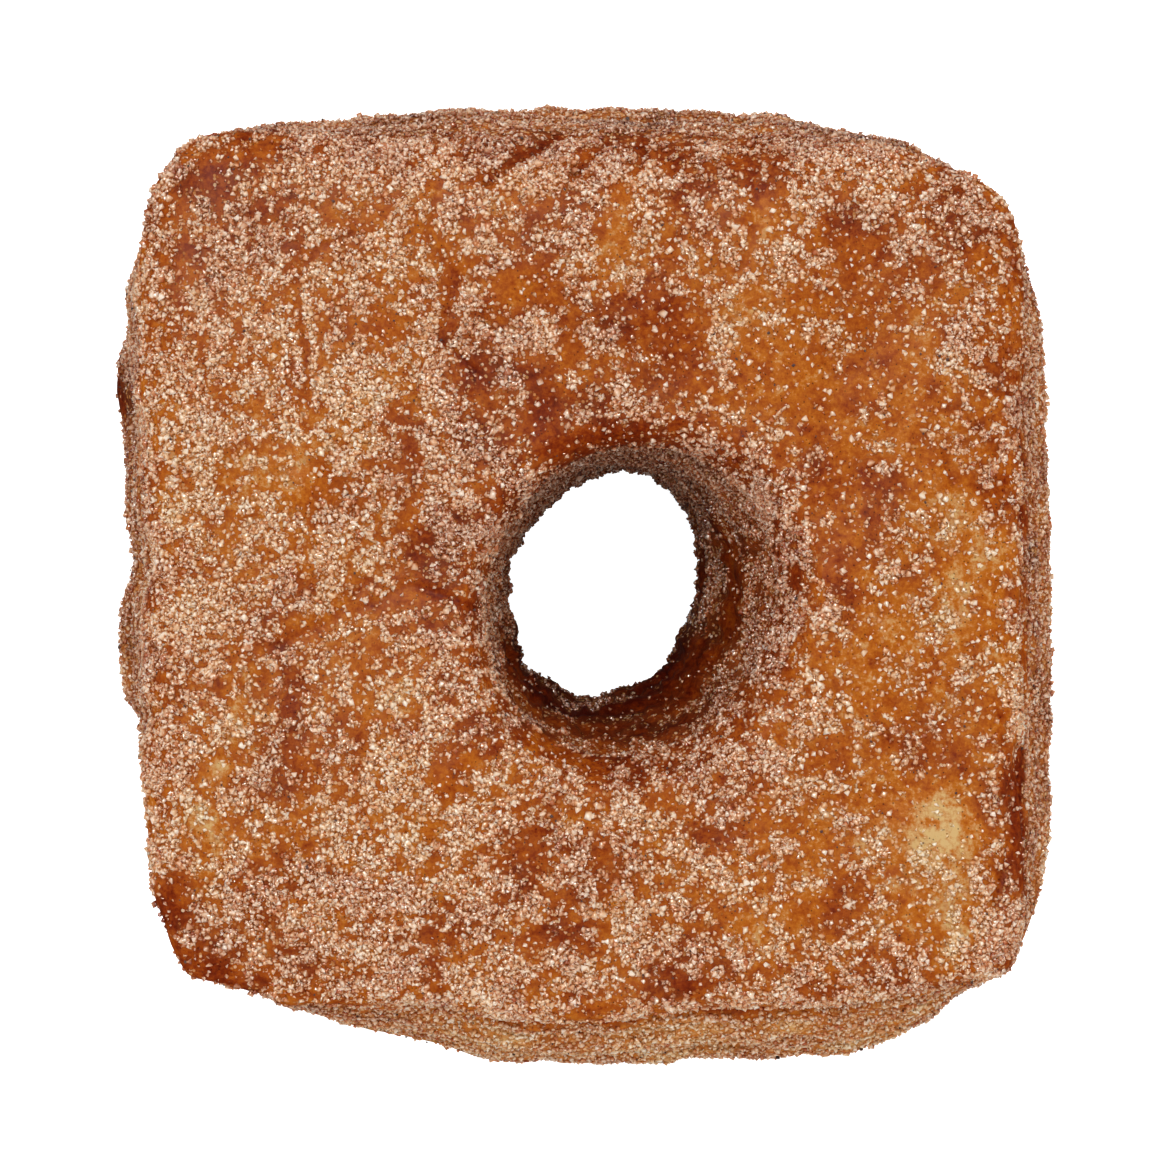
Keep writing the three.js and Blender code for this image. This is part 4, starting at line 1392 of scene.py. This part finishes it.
@dataclass(frozen=True)
class SugarCrystal:
    """Granulated sugar, crystallised and sieved to about half a millimetre, dusted with cinnamon.

    To the eye each crystal is a small glassy grain, pale on top and deep in colour at its foot, with a glint
    on one face; the pale top is partly painted light and the deep foot partly painted shade. It takes the
    tone of the crust below, so that it looks darker over dark crust and over the crust's painted shade.
    """

    # Tones over a blond, amber, caramel, red-brown and dark crust
    tones: tuple[str, ...] = ("#cb9148", "#bb692e", "#aa5021", "#883513", "#5c220c")
    # Power of that tone where the grain is deepest in colour and where it is palest
    depth: tuple[float, float] = (1.25, 0.145)
    roughness: float = 0.12
    ior: float = 1.54

    def build(self) -> bpy.types.Material:
        """Builds the material.

        Returns:
            The material.
        """
        desk = NodeDesk(bpy.data.materials.new("cinnamon_sugar_crystal"))
        add = desk.add
        tint_and_shading = add("ShaderNodeAttribute", {"attribute_name": "tint_and_shading"}).outputs["Fac"]
        bake = add("ShaderNodeAttribute", {"attribute_name": "bake"}).outputs["Fac"]
        deepest, palest = self.depth
        depth = add("ShaderNodeMapRange", inputs={"Value": tint_and_shading, "To Min": deepest, "To Max": palest})
        tone = desk.ramp(bake, BAKE_PLACES, self.tones)
        colour = add("ShaderNodeGamma", inputs={"Color": tone, "Gamma": depth.outputs[0]})
        look = {"Base Color": colour.outputs["Color"], "Roughness": self.roughness, "IOR": self.ior}
        shader = add("ShaderNodeBsdfPrincipled", inputs=look)
        add("ShaderNodeOutputMaterial", inputs={"Surface": shader.outputs[0]})
        return desk.owner


@dataclass(frozen=True)
class GroundCinnamon:
    """Ground cinnamon bark: dull, nearly black-brown flecks that catch no light."""

    tones: tuple[str, str] = ("#24120b", "#5a2f1a")
    roughness: float = 0.85

    def build(self) -> bpy.types.Material:
        """Builds the material.

        Returns:
            The material.
        """
        desk = NodeDesk(bpy.data.materials.new("ground_cinnamon"))
        tint_and_shading = desk.add("ShaderNodeAttribute", {"attribute_name": "tint_and_shading"}).outputs["Fac"]
        look = {"Base Color": desk.ramp(tint_and_shading, (0.0, 1.0), self.tones), "Roughness": self.roughness}
        shader = desk.add("ShaderNodeBsdfPrincipled", inputs=look)
        desk.add("ShaderNodeOutputMaterial", inputs={"Surface": shader.outputs[0]})
        return desk.owner


@dataclass(frozen=True)
class MattPaper:
    """Matt white background paper, lit from behind so that it photographs white."""

    white: str = "#f4f4f4"
    roughness: float = 0.9
    glow: float = 1.0

    def build(self) -> bpy.types.Material:
        """Builds the material.

        Returns:
            The material.
        """
        desk = NodeDesk(bpy.data.materials.new("matt_white_paper"))
        look = {"Base Color": linear(self.white), "Roughness": self.roughness}
        light = {"Emission Color": (1, 1, 1, 1), "Emission Strength": self.glow}
        shader = desk.add("ShaderNodeBsdfPrincipled", inputs={**look, **light})
        desk.add("ShaderNodeOutputMaterial", inputs={"Surface": shader.outputs[0]})
        return desk.owner


# Meshes


def make_mesh(name: str, points: Array, faces: Array, values: dict[str, Array]) -> bpy.types.Object:
    """Makes an object from arrays.

    Args:
        name: Name of the piece.
        points: Vertices in metres.
        faces: Vertex numbers of each face, all of the same count.
        values: Named values for each vertex.

    Returns:
        The new object, linked to the scene.
    """
    mesh = bpy.data.meshes.new(name)
    count, sides = faces.shape
    mesh.vertices.add(len(points))
    mesh.vertices.foreach_set("co", points.astype(np.float32).ravel())
    mesh.loops.add(count * sides)
    mesh.loops.foreach_set("vertex_index", faces.astype(np.int32).ravel())
    mesh.polygons.add(count)
    mesh.polygons.foreach_set("loop_start", np.arange(0, count * sides, sides, dtype=np.int32))
    for key, value in values.items():
        layer = mesh.attributes.new(key, "FLOAT", "POINT")
        layer.data.foreach_set("value", value.astype(np.float32).ravel())
    mesh.update(calc_edges=True)
    mesh.validate()
    piece = bpy.data.objects.new(name, mesh)
    bpy.context.scene.collection.objects.link(piece)
    return piece


def grid_normals(points: Array) -> Array:
    """Unit normals of a grid that closes on itself both ways, pointing out of the dough.

    Args:
        points: Rows by columns by three.

    Returns:
        One unit vector for each vertex.
    """
    along = np.roll(points, -1, axis=0) - np.roll(points, 1, axis=0)
    across = np.roll(points, -1, axis=1) - np.roll(points, 1, axis=1)
    normal = np.cross(across, along)
    return normal / np.maximum(np.linalg.norm(normal, axis=-1, keepdims=True), 1e-9)


@dataclass
class DoughRing:
    """The fried dough: the ring shape with its fine creases, blisters and flaky layers."""

    shape: RingShape
    crust: CrustMap
    finish: FriedDough
    # The top skin: its wrinkles, and the ring round a popped blister (place, width, depth)
    wrinkles: tuple[Clumps, ...] = (Clumps(SKIN_NOISE, 3.4, 0.16, 3), Clumps(SKIN_NOISE, 0.9, 0.05, 2))
    popped_blister: Patch = Patch(-27.3, 9.6, 3.4, 2.5, 1, 10)
    popped_ring: tuple[float, float, float] = (0.4, 0.16, 0.25)
    # The sides: thin leaves of dough in each layer, their torn edges and knobs
    leaf_depth: float = 0.22
    leaf_middle: float = 0.6
    leaves_per_layer: float = 3.0
    leaf_waver: Streaks = Streaks(FLAKE_NOISE, 5, 0.8, 0.9, 2)
    torn_edges: Streaks = Streaks(FLAKE_NOISE, 14, 1.7, 0.45, 2)
    knobs: Clumps = Clumps(SKIN_NOISE, 2.2, 0.3, 3)
    wall_knobs: float = 2.0
    # Where the top skin rolls over the layers: levels, and how much of it in the south
    roll_levels: tuple[float, float] = (16, 26)
    south_roll: float = 0.7
    # Rows on each side of the rim, below the lip and above it that are rounded off
    rim_rows: float = 10.0
    lip_rows: tuple[float, float] = (30.0, 14.0)
    rolled_edge: tuple[float, ...] = (0.15, 1.0, 0.25, 0.0)
    worn_rim: tuple[float, ...] = (0.9, 0.2, 0.35, 0.7)
    easing_steps: int = 60
    easing: float = 0.8
    # How far the sides stay inside the even form, so that the sugar ends where it should
    grain_depth: tuple[float, ...] = (0.36, 0.36, 0.20, 0.50)
    # Small lumps and hollows, round the outside and round the waist of the hole
    lumps: tuple[Pull, ...] = (
        Pull(21, 3.0, -0.45), Pull(42, 3.4, 0.5), Pull(55, 3.4, 0.75), Pull(72, 2.6, -0.5),
        Pull(83, 3.0, -0.5), Pull(104, 3.0, 0.4), Pull(125, 7.0, 0.5), Pull(135, 2.0, -0.7),
        Pull(146.5, 3.6, 1.0), Pull(156, 4.0, 0.55), Pull(177, 4.2, -1.15), Pull(196.5, 2.0, -0.9),
        Pull(218.5, 2.2, -0.5), Pull(224.4, 2.0, 0.8), Pull(234.4, 1.8, 0.8), Pull(250, 5.5, -0.95),
        Pull(286, 5.0, -0.5), Pull(311.5, 4.0, -0.85), Pull(318, 2.0, 0.5),
    )
    hole_lumps: tuple[Pull, ...] = (
        Pull(168, 8.0, 0.5), Pull(200, 6.0, -0.35), Pull(222, 4.0, 0.45), Pull(248, 5.0, 0.3),
        Pull(272, 9.0, -0.65), Pull(326, 6.0, -0.5),
    )
    # How far out and how high up the outer lumps begin, and the reach of those in the hole
    lumps_reach: tuple[float, float] = (34, 41)
    lumps_levels: tuple[float, float] = (3, 14)
    hole_reach: tuple[float, float] = (20, 14)
    waist_high: float = 12
    points: Array = field(init=False)
    normals: Array = field(init=False)
    zones: Array = field(init=False)
    bake: Array = field(init=False)

    def relief(self, points: Array, layers: Array, bearing: Array) -> Array:
        """How far the surface stands out from its even form, at each vertex.

        Args:
            points: Vertices of the even form, in millimetres.
            layers: How far down its layers each vertex lies.
            bearing: Bearing of each vertex from the middle.

        Returns:
            Millimetres along the normal.
        """
        x, y = points[..., 0], points[..., 1]
        on_top = np.isin(self.zones, (Zone.TOP.value, Zone.LIP.value, Zone.RIM.value))[:, None]
        on_wall = (self.zones == Zone.WALL.value)[:, None]
        on_side = (self.zones == Zone.SIDE.value)[:, None] | on_wall
        folds = sum((crease.deep * crease.at(x, y) for crease in self.crust.creases), 0.0)
        ring, width, depth = self.popped_ring
        rings = -depth * np.exp(-(((self.popped_blister.at(x, y) - ring) / width) ** 2))
        top = sum(wrinkle.at(points) for wrinkle in self.wrinkles) - folds + rings
        leaf = self.leaves_per_layer * layers + self.leaf_waver.at(bearing, layers)
        rolled = 1 - self.rolled_over(bearing, points[..., 2])
        leaves = self.leaf_depth * rolled * (np.abs(np.sin(np.pi * leaf)) - self.leaf_middle)
        torn = self.torn_edges.at(bearing, layers)
        knobs = self.knobs.at(points) * np.where(on_wall, self.wall_knobs, 1)
        side = leaves - around(self.grain_depth, bearing, 0) + torn + knobs
        return np.where(on_top, top, 0) + np.where(on_side, side, 0)

    def lumpy(self, points: Array) -> Array:
        """Sideways shift of each vertex by the lumps of the sides and of the hole.

        Args:
            points: Vertices in millimetres.

        Returns:
            The shift of each vertex, with the three axes last.
        """
        bearing = np.arctan2(points[..., 1], points[..., 0])
        outside = smoothstep(np.hypot(points[..., 0], points[..., 1]), *self.lumps_reach)
        out = pulled(self.lumps, bearing) * outside * smoothstep(points[..., 2], *self.lumps_levels)
        round_hole = self.crust.round_hole(points)
        near = smoothstep(-self.crust.from_hole(points), -self.hole_reach[0], -self.hole_reach[1])
        waist = np.exp(-(((points[..., 2] - self.shape.waist_level) / self.waist_high) ** 2))
        wide = pulled(self.hole_lumps, round_hole) * near * waist
        x = out * np.cos(bearing) + wide * np.cos(round_hole)
        y = out * np.sin(bearing) + wide * np.sin(round_hole)
        return np.stack([x, y, np.zeros_like(x)], -1)

    def rolled_over(self, bearing: Array, level: Array) -> Array:
        """1 where the top skin rolls over the upper layers and hides them, 0 elsewhere.

        Args:
            bearing: Bearings in radians.
            level: Levels in millimetres.

        Returns:
            The share at each vertex.
        """
        north = np.maximum(0, np.sin(bearing)) ** 1.5
        south = self.south_roll * np.maximum(0, -np.sin(bearing)) ** 2
        return np.maximum(north, south) * smoothstep(level, *self.roll_levels)

    def build(self) -> bpy.types.Object:
        """Builds the piece.

        Returns:
            The new object.
        """
        points, zones, layers = self.shape.sections(FINE_ROWS, FINE_COLUMNS)
        points[..., :2] -= self.shape.middle()
        points = self.eased(points, zones)
        points = points + self.lumpy(points)
        self.zones = np.array([zone.value for zone in zones])
        bearing = np.arctan2(points[..., 1], points[..., 0])
        places = np.broadcast_to(np.array(layers)[:, None], bearing.shape)
        normals = grid_normals(points)
        points = points + normals * self.relief(points, places, bearing)[..., None]
        under = self.zones == Zone.UNDERSIDE.value
        points[under, :, 2] = np.maximum(points[under, :, 2], 0)
        self.points, self.normals = points, grid_normals(points)

        cover = self.crust.cover(points)
        self.bake = self.crust.bake(points, places)
        flat = points.reshape(-1, 3) * MM
        values = {"film": cover.ravel(), "bake": self.bake.ravel()}
        piece = make_mesh("fried_dough", flat, self.faces(), values)
        piece.data.shade_smooth()
        piece.data.materials.append(self.finish.build())
        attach(piece, "root")
        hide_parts("croissant_doughnut")
        return piece

    def eased(self, points: Array, zones: list[Zone]) -> Array:
        """Rounds the step from the rim into the hole, and the top edge where the skin rolls over.

        Args:
            points: The grid of the even form.
            zones: Zone of each row.

        Returns:
            The grid, with its rows drawn towards their neighbours at those two places.
        """
        bearing = np.arctan2(points[0, :, 1], points[0, :, 0])
        numbers = np.arange(len(zones))
        wall = numbers[[zone is Zone.WALL for zone in zones]][0]
        lip = numbers[[zone is Zone.LIP for zone in zones]][0]
        from_rim = np.abs(numbers - wall - 1) / self.rim_rows
        from_lip = (numbers - lip - 2 + len(zones) / 2) % len(zones) - len(zones) / 2
        from_lip = np.where(from_lip < 0, -from_lip / self.lip_rows[0], from_lip / self.lip_rows[1])
        rolled = around(self.rolled_edge, bearing, 0)
        worn = around(self.worn_rim, bearing, 0)
        weight = np.maximum(0, 1 - from_rim**2)[:, None] * worn
        weight = weight + np.maximum(0, 1 - from_lip**2)[:, None] * rolled
        for _ in range(self.easing_steps):
            between = (np.roll(points, 1, axis=0) + np.roll(points, -1, axis=0)) / 2
            points = lerp(points, between, self.easing * np.clip(weight, 0, 1)[..., None])
        return points

    def faces(self) -> Array:
        """Quads that join the rows and columns, with outward normals.

        Returns:
            Vertex numbers of each quad.
        """
        rows, columns = self.points.shape[:2]
        row, column = np.meshgrid(np.arange(rows), np.arange(columns), indexing="ij")
        next_row, next_column = (row + 1) % rows, (column + 1) % columns
        corners = (
            row * columns + column,
            row * columns + next_column,
            next_row * columns + next_column,
            next_row * columns + column,
        )
        return np.stack([corner.ravel() for corner in corners], -1)


def antiprism(top: float, foot: float, height: float) -> tuple[tuple, tuple]:
    """Corners and outward triangles of a crystal with a flat top and six leaning faces round it.

    Args:
        top: Radius of the three-cornered top.
        foot: Radius of the foot, whose corners lie between those of the top.
        height: Half the height.

    Returns:
        The corners, the top's first, and the triangles.
    """
    thirds = [2 * math.pi * i / 3 for i in range(3)]
    corners = tuple((top * math.cos(turn), top * math.sin(turn), height) for turn in thirds)
    corners += tuple((-foot * math.cos(turn), -foot * math.sin(turn), -height) for turn in thirds)
    triangles = [(0, 1, 2), (3, 5, 4)]
    for i in range(3):
        after, opposite = (i + 1) % 3, 3 + (i + 2) % 3
        triangles += [(i, opposite, after), (opposite, 3 + i, after)]
    return corners, tuple(triangles)


class GrainForm(Enum):
    """Plain shapes that a grain starts from, each as its corners and its outward triangles."""

    CRYSTAL = antiprism(1.1, 1.1, 0.75)
    SHARD = (
        ((1, 1, 1), (1, -1, -1), (-1, 1, -1), (-1, -1, 1)),
        ((0, 2, 1), (0, 1, 3), (0, 3, 2), (1, 2, 3)),
    )


@dataclass
class GrainCoat:
    """Grains scattered over some zones of the dough, by default thick where the sugar lies."""

    name: str
    zones: tuple[Zone, ...]
    count: int
    seed: int
    form: GrainForm
    size: float
    spacing: float
    # Lowest and highest middle of a grain over the crust, in half sizes
    lift: tuple[float, float] = (0.05, 0.6)
    # Its tone: mean, how much it differs between grains and corners, and how much paler on top and deeper at
    # the foot, partly the crust seen through the crystal and partly painted light on top and painted shade at
    # the foot
    paleness: float = 0.51
    tone_spread: float = 0.15
    patchy: float = 0.25
    top_to_foot_shading: float = 0.46
    # Chance of a grain where there is no sugar, and the cover between which it grows to 1
    stray: float = 0.02
    covered: tuple[float, float] = (0.30, 0.66)
    # Chance of a grain low on the sides, against higher up, and the levels between
    low_share: float = 1.0
    low_levels: tuple[float, float] = (14, 24)
    # Millimetres that a grain lies higher where the sugar is thick
    on_sugar: float = 0.0
    # Uneven size, stretch along its axes, corners pushed in or out, and lean off the crust
    spread: float = 0.18
    stretch: tuple[float, float] = (0.72, 1.25)
    flatness: float = 0.9
    corner_shift: tuple[float, float] = (-0.24, 0.16)
    tumbled: float = 1.0
    tries_each: int = 7

    def build(self, dough: DoughRing, material: bpy.types.Material) -> bpy.types.Object:
        """Builds the piece.

        Args:
            dough: The dough that the grains lie on.
            material: The grains' material.

        Returns:
            The new object.
        """
        rng = np.random.default_rng(self.seed)
        places, normals, cover, bake = self.scatter(dough, rng)
        corners = np.array(self.form.value[0], float)
        triangles = np.array(self.form.value[1])
        count = len(places)
        half = self.size * np.exp(rng.normal(0, self.spread, (count, 1)))
        stretch = rng.uniform(*self.stretch, (count, 3)) * (1, 1, self.flatness)
        shape = corners[None] * (half * stretch)[:, None, :]
        shape *= 1 + rng.uniform(*self.corner_shift, (count, len(corners), 1))
        tilt = normals + rng.normal(0, self.tumbled, normals.shape)
        tilt /= np.linalg.norm(tilt, axis=1, keepdims=True)
        side = np.cross(tilt, rng.normal(size=tilt.shape))
        side /= np.linalg.norm(side, axis=1, keepdims=True)
        axes = np.stack([side, np.cross(tilt, side), tilt], 1)
        turned = np.einsum("nck,nkj->ncj", shape, axes)
        lift = half[:, 0] * rng.uniform(*self.lift, count) + self.on_sugar * cover
        points = turned + (places + normals * lift[:, None])[:, None, :]
        if self.zones == (Zone.UNDERSIDE,):
            points[..., 2] = np.maximum(points[..., 2], 0.0)
        faces = (triangles[None] + len(corners) * np.arange(count)[:, None, None]).reshape(-1, 3)
        # Upper corners paler and lower ones deeper: painted light on top and painted shade at the foot
        height = np.einsum("ncj,nj->nc", turned, normals) / half
        uneven = rng.normal(0, self.patchy, (count, len(corners)))
        mean = rng.normal(self.paleness, self.tone_spread, (count, 1))
        tint_and_shading = np.clip(mean + self.top_to_foot_shading * height + uneven, 0, 1)
        values = {"tint_and_shading": tint_and_shading, "bake": np.repeat(bake, len(corners))}
        piece = make_mesh(self.name, points.reshape(-1, 3) * MM, faces, values)
        piece.data.materials.append(material)
        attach(piece, "root")
        return piece

    def scatter(self, dough: DoughRing, rng: np.random.Generator) -> tuple[Array, ...]:
        """Draws places for the grains.

        Args:
            dough: The dough that the grains lie on.
            rng: The seeded draw.

        Returns:
            Places and normals in millimetres, how much sugar lies at each, and the crust's browning.
        """
        points, normals = dough.points, dough.normals
        rows = np.flatnonzero(np.isin(dough.zones, [zone.value for zone in self.zones]))
        after = (rows + 1) % len(dough.zones)
        area = self.cell_area(points, rows, after)
        chances = (area / area.sum()).ravel()
        tries = self.count * self.tries_each
        cell = rng.choice(len(chances), tries, p=chances)
        row, column = np.divmod(cell, points.shape[1])
        low, high = rows[row], after[row]
        beside = (column + 1) % points.shape[1]
        u, v = rng.random((2, tries, 1))

        def blend(values: Array) -> Array:
            """Blends the cell's four corners at each place."""
            near = lerp(values[low, column], values[low, beside], u)
            far = lerp(values[high, column], values[high, beside], u)
            return lerp(near, far, v)

        place, normal = blend(points), blend(normals)
        normal /= np.linalg.norm(normal, axis=1, keepdims=True)
        cover = dough.crust.cover(place)
        chance = lerp(self.stray, 1, smoothstep(cover, *self.covered))
        chance *= lerp(self.low_share, 1, smoothstep(place[:, 2], *self.low_levels))
        kept = np.flatnonzero(rng.random(tries) < chance)
        chosen = kept[self.thinned(place[kept])][: self.count]
        return place[chosen], normal[chosen], cover[chosen], blend(dough.bake[..., None])[chosen, 0]

    def cell_area(self, points: Array, rows: Array, after: Array) -> Array:
        """Area of each cell of the dough's grid in the chosen rows.

        Args:
            points: The dough's grid.
            rows: The chosen rows.
            after: The row after each.

        Returns:
            Square millimetres, as rows by columns.
        """
        down = points[after] - points[rows]
        across = np.roll(points[rows], -1, axis=1) - points[rows]
        return np.linalg.norm(np.cross(down, across), axis=-1)

    def thinned(self, place: Array) -> Array:
        """Keeps one grain in each small box, so that grains touch but hardly overlap.

        Args:
            place: Places in millimetres.

        Returns:
            Numbers of the places that stay, in order.
        """
        key = np.floor(place / self.spacing).astype(np.int64)
        code = (key[:, 0] * 4096 + key[:, 1]) * 4096 + key[:, 2]
        _, first = np.unique(code, return_index=True)
        return np.sort(first)


@dataclass(frozen=True)
class Lamp:
    """A square soft light that points at the doughnut: watts, side and place in metres."""

    name: str
    power: float
    side: float
    place: tuple[float, float, float]
    # Whether it lights surfaces, or shows in their gloss alone
    lights_surfaces: bool = True


@dataclass(frozen=True)
class Studio:
    """Plain paper, soft light from overhead and a camera that looks straight down.

    The paper is bright for the camera alone, so that it doesn't light the dough from below.
    """

    camera_height: float = 1.0
    camera_shift: tuple[float, float] = (-0.00055, 0.00065)
    lens: float = 304.2
    sensor: float = 36
    clip: tuple[float, float] = (0.01, 10)
    floor_half: float = 1.5
    floor_level: float = -0.05 * MM
    # Brightness of the sky at heights from straight down at 0 to straight up at 1
    sky_heights: tuple[float, ...] = (0.35, 0.50, 0.62, 0.8)
    sky_glow: tuple[float, ...] = (0.05, 1.95, 1.55, 0.18)
    lamps: tuple[Lamp, ...] = (
        Lamp("softbox", 7.85, 1.0, (-0.06, 0.26, 1.15)),
        Lamp("sparkle", 1.8, 0.12, (0.2, -0.45, 0.95)),
        Lamp("glints", 34.0, 0.30, (-0.25, 0.45, 1.0), False),
    )

    def build(self, paper: MattPaper) -> None:
        """Builds the floor, the lights and the camera.

        Args:
            paper: The finish of the floor.
        """
        half = self.floor_half
        corners = np.array([(-half, -half), (half, -half), (half, half), (-half, half)])
        flat = np.concatenate([corners, np.full((4, 1), self.floor_level)], 1)
        floor = make_mesh("paper_floor", flat, np.array([[0, 1, 2, 3]]), {})
        floor.data.materials.append(paper.build())
        floor.visible_diffuse = False
        floor.visible_glossy = False

        scene = bpy.context.scene
        scene.world = self.daylight()
        scene.view_settings.view_transform = "Standard"
        for lamp in self.lamps:
            light = bpy.data.lights.new(lamp.name, "AREA")
            light.size = lamp.side
            light.energy = lamp.power
            x, y, z = lamp.place
            hung = bpy.data.objects.new(lamp.name, light)
            hung.location = lamp.place
            hung.rotation_euler = (math.atan2(math.hypot(x, y), z), 0, math.atan2(x, -y))
            hung.visible_camera = False
            hung.visible_diffuse = lamp.lights_surfaces
            scene.collection.objects.link(hung)

        lens = bpy.data.cameras.new("camera")
        lens.lens = self.lens
        lens.sensor_width = self.sensor
        lens.clip_start, lens.clip_end = self.clip
        camera = bpy.data.objects.new("camera", lens)
        camera.location = (*self.camera_shift, self.camera_height)
        scene.collection.objects.link(camera)
        scene.camera = camera

    def daylight(self) -> bpy.types.World:
        """White light all round, brightest near the horizon as in a light tent.

        Returns:
            The world.
        """
        desk = NodeDesk(bpy.data.worlds.new("soft_daylight"))
        where = desk.add("ShaderNodeTexCoord").outputs["Generated"]
        axes = desk.add("ShaderNodeSeparateXYZ", inputs={0: where})
        height = desk.add("ShaderNodeMapRange", inputs={"Value": axes.outputs["Z"], "From Min": -1})
        sky = desk.ramp(height.outputs[0], self.sky_heights, self.sky_glow)
        light = desk.add("ShaderNodeBackground", inputs={"Color": sky})
        desk.add("ShaderNodeOutputWorld", inputs={"Surface": light.outputs[0]})
        return desk.owner


def main() -> None:
    """Builds every piece in order and says what each one is."""
    logging.basicConfig(level=logging.INFO, format="%(name)s: %(message)s")
    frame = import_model()
    LOG.info("frame with %s nodes", len(frame["nodes"]))

    Studio().build(MattPaper())
    dough = DoughRing(RingShape(), CrustMap(), FriedDough())
    pieces = [dough.build()]
    sugar, cinnamon = SugarCrystal().build(), GroundCinnamon().build()
    top, side, hole, under = (Zone.TOP, Zone.RIM, Zone.LIP), (Zone.SIDE,), (Zone.WALL,), (Zone.UNDERSIDE,)
    crystal, shard = GrainForm.CRYSTAL, GrainForm.SHARD
    coats = (
        GrainCoat("coarse_sugar_on_top", top, 24500, 101, crystal, 0.235, 0.39),
        GrainCoat("fine_sugar_on_top", top, 34000, 102, shard, 0.16, 0.26),
        GrainCoat("sugar_dust_on_top", top, 30000, 106, shard, 0.10, 0.18),
        GrainCoat("coarse_sugar_on_sides", side, 19000, 108, crystal, 0.23, 0.38, low_share=0.2),
        GrainCoat("sugar_on_sides", side, 20000, 103, shard, 0.16, 0.26, low_share=0.5),
        # Grains in the hole are less pale: painted shade on the sugar there
        GrainCoat("coarse_sugar_in_hole", hole, 6500, 109, crystal, 0.20, 0.36, paleness=0.45, low_share=0.3),
        GrainCoat("sugar_in_hole", hole, 5000, 104, shard, 0.16, 0.26, paleness=0.40, low_share=0.5),
        GrainCoat("sugar_underneath", under, 3500, 105, shard, 0.22, 0.42),
    )
    pieces += [coat.build(dough, sugar) for coat in coats]
    loose = {"lift": (0.2, 0.8), "stray": 1.0, "on_sugar": 0.24, "spread": 0.35}
    specks = GrainCoat("cinnamon_specks", (*top, *side), 2600, 107, crystal, 0.07, 0.5, **loose)
    pieces.append(specks.build(dough, cinnamon))
    for piece in pieces:
        LOG.info("%s: %s faces", piece.name, len(piece.data.polygons))


if __name__ == "__main__":
    main()
